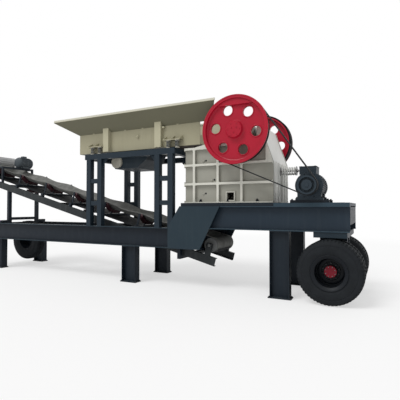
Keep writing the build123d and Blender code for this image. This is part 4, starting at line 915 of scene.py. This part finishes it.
motor_low, motor_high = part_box("motor_housing")
shield_y = motor_low.y + 0.020
fins_from, fins_to = motor_low.y + 0.064, motor_low.y + 0.518
eye_y, eye_z = motor_low.y + 0.115, motor_z + 0.268
pieces = [fins_round((motor_x, motor_z), fins_from, fins_to, 0.218, 0.241, 0.007, 44),
          bolt_heads(ring_of((motor_x, shield_y, motor_z), 0.214, 8, 22.5), (0, -1, 0),
                     0.026, 0.012)]
box_low, box_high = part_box("motor_terminal_box")
lid_overlap, lid_thickness, screw_inset = 0.006, 0.012, 0.025
lid_z = box_high.z + lid_thickness
pieces.append(trimmed_box((box_low.x - lid_overlap, box_low.y - lid_overlap, box_high.z - 0.001),
                          (box_high.x + lid_overlap, box_high.y + lid_overlap, lid_z), 0.004))
corners = [(x, y, lid_z) for x in (box_low.x + screw_inset, box_high.x - screw_inset)
           for y in (box_low.y + screw_inset, box_high.y - screw_inset)]
pieces.append(bolt_heads(corners, (0, 0, 1), 0.018, 0.008))
begin()
bpy.ops.mesh.primitive_torus_add(
    location=(motor_x, eye_y, eye_z), rotation=(pi / 2, 0, 0), major_radius=0.026,
    minor_radius=0.008, major_segments=28, minor_segments=10)
pieces.append(bpy.context.object)
pieces.append(bolt_heads([(motor_x, eye_y, motor_z + 0.220)], (0, 0, 1), 0.044, 0.024, 20))
for radius in (0.060, 0.098, 0.136, 0.174):
    grille_ring = [(0.0, radius - 0.005), (0.006, radius - 0.004), (0.006, radius + 0.004),
                   (0.0, radius + 0.005)]
    pieces.append(turned(grille_ring, (motor_x, motor_high.y, motor_z), 48))
for turn in (0, 60, 120):
    bar = trimmed_box((motor_x - 0.176, motor_high.y, motor_z - 0.005),
                      (motor_x + 0.176, motor_high.y + 0.005, motor_z + 0.005), 0.001)
    bar.rotation_euler = (0, radians(turn), 0)
    pieces.append(bar)
settle(join(pieces), "motor_fins_lid_and_grille", motor_enamel, "motor_paint", "plant")
rail_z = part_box("motor_slide_rails")[1].z
rail_lines, foot_rise = (-0.655, -0.265), 0.030
feet = [(motor_x + shift, y, rail_z + foot_rise) for shift in (-0.212, 0.212) for y in rail_lines]
ends = [(motor_x + shift, y, rail_z) for shift in (-0.300, 0.300) for y in rail_lines]
heads = [bolt_heads(feet, (0, 0, 1), 0.040, 0.024), bolt_heads(ends, (0, 0, 1), 0.034, 0.020)]
settle(join(heads), "motor_foot_bolts", bolt_steel, "motor_paint", "plant")

# %% [markdown]
# Over the belt's head, a small motor turns the magnet drum. Its ends are domed castings, and the
# drum is rolled from plate with narrow strips that carry the iron out of the field.

# %% Magnet drum and its motor
low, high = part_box("magnet_motor")
small_x, small_z = (low.x + high.x) / 2, high.z - 0.150
dome = [(0.0, 0.0), (0.0, 0.146), (0.016, 0.142), (0.034, 0.118), (0.044, 0.070), (0.047, 0.030),
        (0.048, 0.0)]
domes = [fins_round((small_x, small_z), low.y + 0.030, high.y - 0.030, 0.147, 0.163, 0.007, 30)]
domes += [turned(dome, (small_x, y, small_z), 48, side) for y, side in ((low.y, -1), (high.y, 1))]
domes.append(trimmed_box((small_x - 0.055, low.y + 0.130, small_z + 0.140),
                         (small_x + 0.055, low.y + 0.250, small_z + 0.205), 0.006))
settle(join(domes), "magnet_motor_fins_and_ends", small_motor_enamel, "motor_paint", "plant")
low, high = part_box("magnet_drum")
drum_x, drum_z = (low.x + high.x) / 2, (low.z + high.z) / 2
strips = [fins_round((drum_x, drum_z), -0.352, 0.352, 0.112, 0.122, 0.010, 12)]
hoop = [(-0.004, 0.106), (-0.004, 0.119), (0.004, 0.119), (0.004, 0.106)]
strips += [turned(hoop, (drum_x, y, drum_z), 64) for y in (-0.350, -0.175, 0.0, 0.175, 0.350)]
settle(join(strips), "magnet_drum_strips", drum_enamel, "drum_steel", "plant")

# %% [markdown]
# The frame is bolted to its feet and the conveyor to its channels. The rear deck is chequer plate:
# a rolled sheet with raised bars in two directions, which two Array modifiers lay out from a
# single bar.

# %% Frame bolts and chequer plate
leg_places, leg_line, foot_top = (0.855, 4.150, 8.520), 0.6525, 0.020
feet = [(ahead(a) + dx, side * (leg_line + dy), foot_top) for a in leg_places
        for dx in (-0.183, 0.183) for side in (-1, 1) for dy in (-0.080, 0.080)]
settle(bolt_heads(feet, (0, 0, 1), 0.026, 0.016), "foot_plate_bolts", bolt_steel, "frame_paint",
       "plant")
stands = [on_incline(first_idler + idler_pitch * k, side * 0.475, 0.088)
          for k in range(idler_count) for side in (-1, 1)]
bearings = [on_incline(along + step, -0.520, lift) for along in (0.0, belt_run)
            for step in (-0.040, 0.040) for lift in (0.180, 0.230)]
heads = [bolt_heads(stands, off_line, 0.026, 0.014),
         bolt_heads(bearings, (0, -1, 0), 0.022, 0.012)]
settle(join(heads), "conveyor_bolts", bolt_steel, "frame_paint", "plant")

deck_low, deck_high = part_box("rear_deck")
bar_pitch = 0.060
lozenges = []
for turn, shift in ((45, 0.0), (-45, bar_pitch / 2)):
    begin()
    corner = (deck_low.x + bar_pitch / 2 + shift, deck_low.y + bar_pitch / 2, deck_high.z + 0.001)
    bpy.ops.mesh.primitive_cube_add(size=1, location=corner, scale=(0.034, 0.009, 0.003),
                                    rotation=(0, 0, radians(turn)))
    bar = keep_turn_and_scale()
    faces_where(bar, lambda middle, normal: normal.z > 0.9)
    bpy.ops.transform.resize(value=(0.75, 0.75, 1))
    leave()
    for step, length in (((bar_pitch, 0, 0), deck_high.x - deck_low.x),
                         ((0, bar_pitch, 0), deck_high.y - deck_low.y)):
        row = bar.modifiers.new("row", "ARRAY")
        row.use_relative_offset = False
        row.use_constant_offset = True
        row.constant_offset_displace = step
        row.count = int((length - bar_pitch - shift) / bar_pitch)
        bpy.ops.object.modifier_apply(modifier="row")
    lozenges.append(bar)
settle(join(lozenges), "chequer_bars", lit_deck_enamel, "frame_paint", "plant")

# %% [markdown]
# The photograph was taken at eye height, from the side of the belt drive and a little behind the
# crusher, with a normal lens. The camera's place was worked out from the straight beams and the
# wheel, so the lens and the tilt are given as they were found.

# %% Camera
eye = bpy.data.cameras.new("eye_level_camera")
frame_pixels, focal_pixels = 400, 366
eye.sensor_width = 36
eye.lens = 36 * focal_pixels / frame_pixels
camera = bpy.data.objects.new("eye_level_camera", eye)
bpy.context.scene.collection.objects.link(camera)
eye_behind_axle, eye_distance, eye_height = 0.788, 7.150, 1.600
tilt_up, turn_ahead = 0.0219, 0.4629
camera.location = (ahead(-eye_behind_axle), -eye_distance, eye_height)
camera.rotation_euler = (pi / 2 + tilt_up, 0.0, turn_ahead)
bpy.context.scene.camera = camera

# %% [markdown]
# Soft daylight from a white sky and one broad lamp from the front left shows the paint at about
# its own colour. The floor is pale and plain, keeps the plant's shadow, and turns to the sky's
# white further out, so that no horizon shows.

# %% Floor, sky and lamp
begin()
bpy.ops.mesh.primitive_plane_add(size=160, location=(0, 0, -0.002))
floor = bpy.context.object
floor.name = "pale_floor"
material, tree, place = new_material("pale_studio_floor")
distance = add_node(tree, "ShaderNodeVectorMath", {0: place}, operation="LENGTH")
far = add_node(tree, "ShaderNodeMapRange", {
    "Value": distance.outputs["Value"], "From Min": 7.0, "From Max": 16.0})
plain = add_node(tree, "ShaderNodeBsdfDiffuse", {"Color": linear("#f6f6f6")})
glow = add_node(tree, "ShaderNodeEmission", {"Color": (1, 1, 1, 1), "Strength": 1.0})
watched = add_node(tree, "ShaderNodeLightPath")
veil = add_node(tree, "ShaderNodeMapRange", {
    "Value": watched.outputs["Is Camera Ray"], "To Max": 0.55})
whiter = add_node(tree, "ShaderNodeMath", {
    0: far.outputs["Result"], 1: veil.outputs["Result"]}, operation="MAXIMUM")
blend = add_node(tree, "ShaderNodeMixShader", {
    0: whiter.outputs["Value"], 1: plain.outputs["BSDF"], 2: glow.outputs["Emission"]})
add_node(tree, "ShaderNodeOutputMaterial", {"Surface": blend.outputs["Shader"]})
floor.data.materials.append(material)

sky = bpy.data.worlds.new("white_sky")
sky.use_nodes = True
tree = sky.node_tree
tree.nodes.clear()
ray = add_node(tree, "ShaderNodeLightPath")
seen = add_node(tree, "ShaderNodeMath", {
    0: ray.outputs["Is Camera Ray"], 1: ray.outputs["Is Glossy Ray"]}, operation="MAXIMUM")
level = add_node(tree, "ShaderNodeMapRange", {
    "Value": seen.outputs["Value"], "To Min": 0.62})
background = add_node(tree, "ShaderNodeBackground", {
    "Color": (1, 1, 1, 1), "Strength": level.outputs["Result"]})
add_node(tree, "ShaderNodeOutputWorld", {"Surface": background.outputs["Background"]})
bpy.context.scene.world = sky

sun = bpy.data.lights.new("broad_daylight", "SUN")
sun.energy = 1.5
sun.angle = radians(25)
lamp = bpy.data.objects.new("broad_daylight", sun)
lamp.rotation_euler = (radians(38), 0, radians(-28))
bpy.context.scene.collection.objects.link(lamp)
bpy.context.scene.view_settings.view_transform = "Standard"
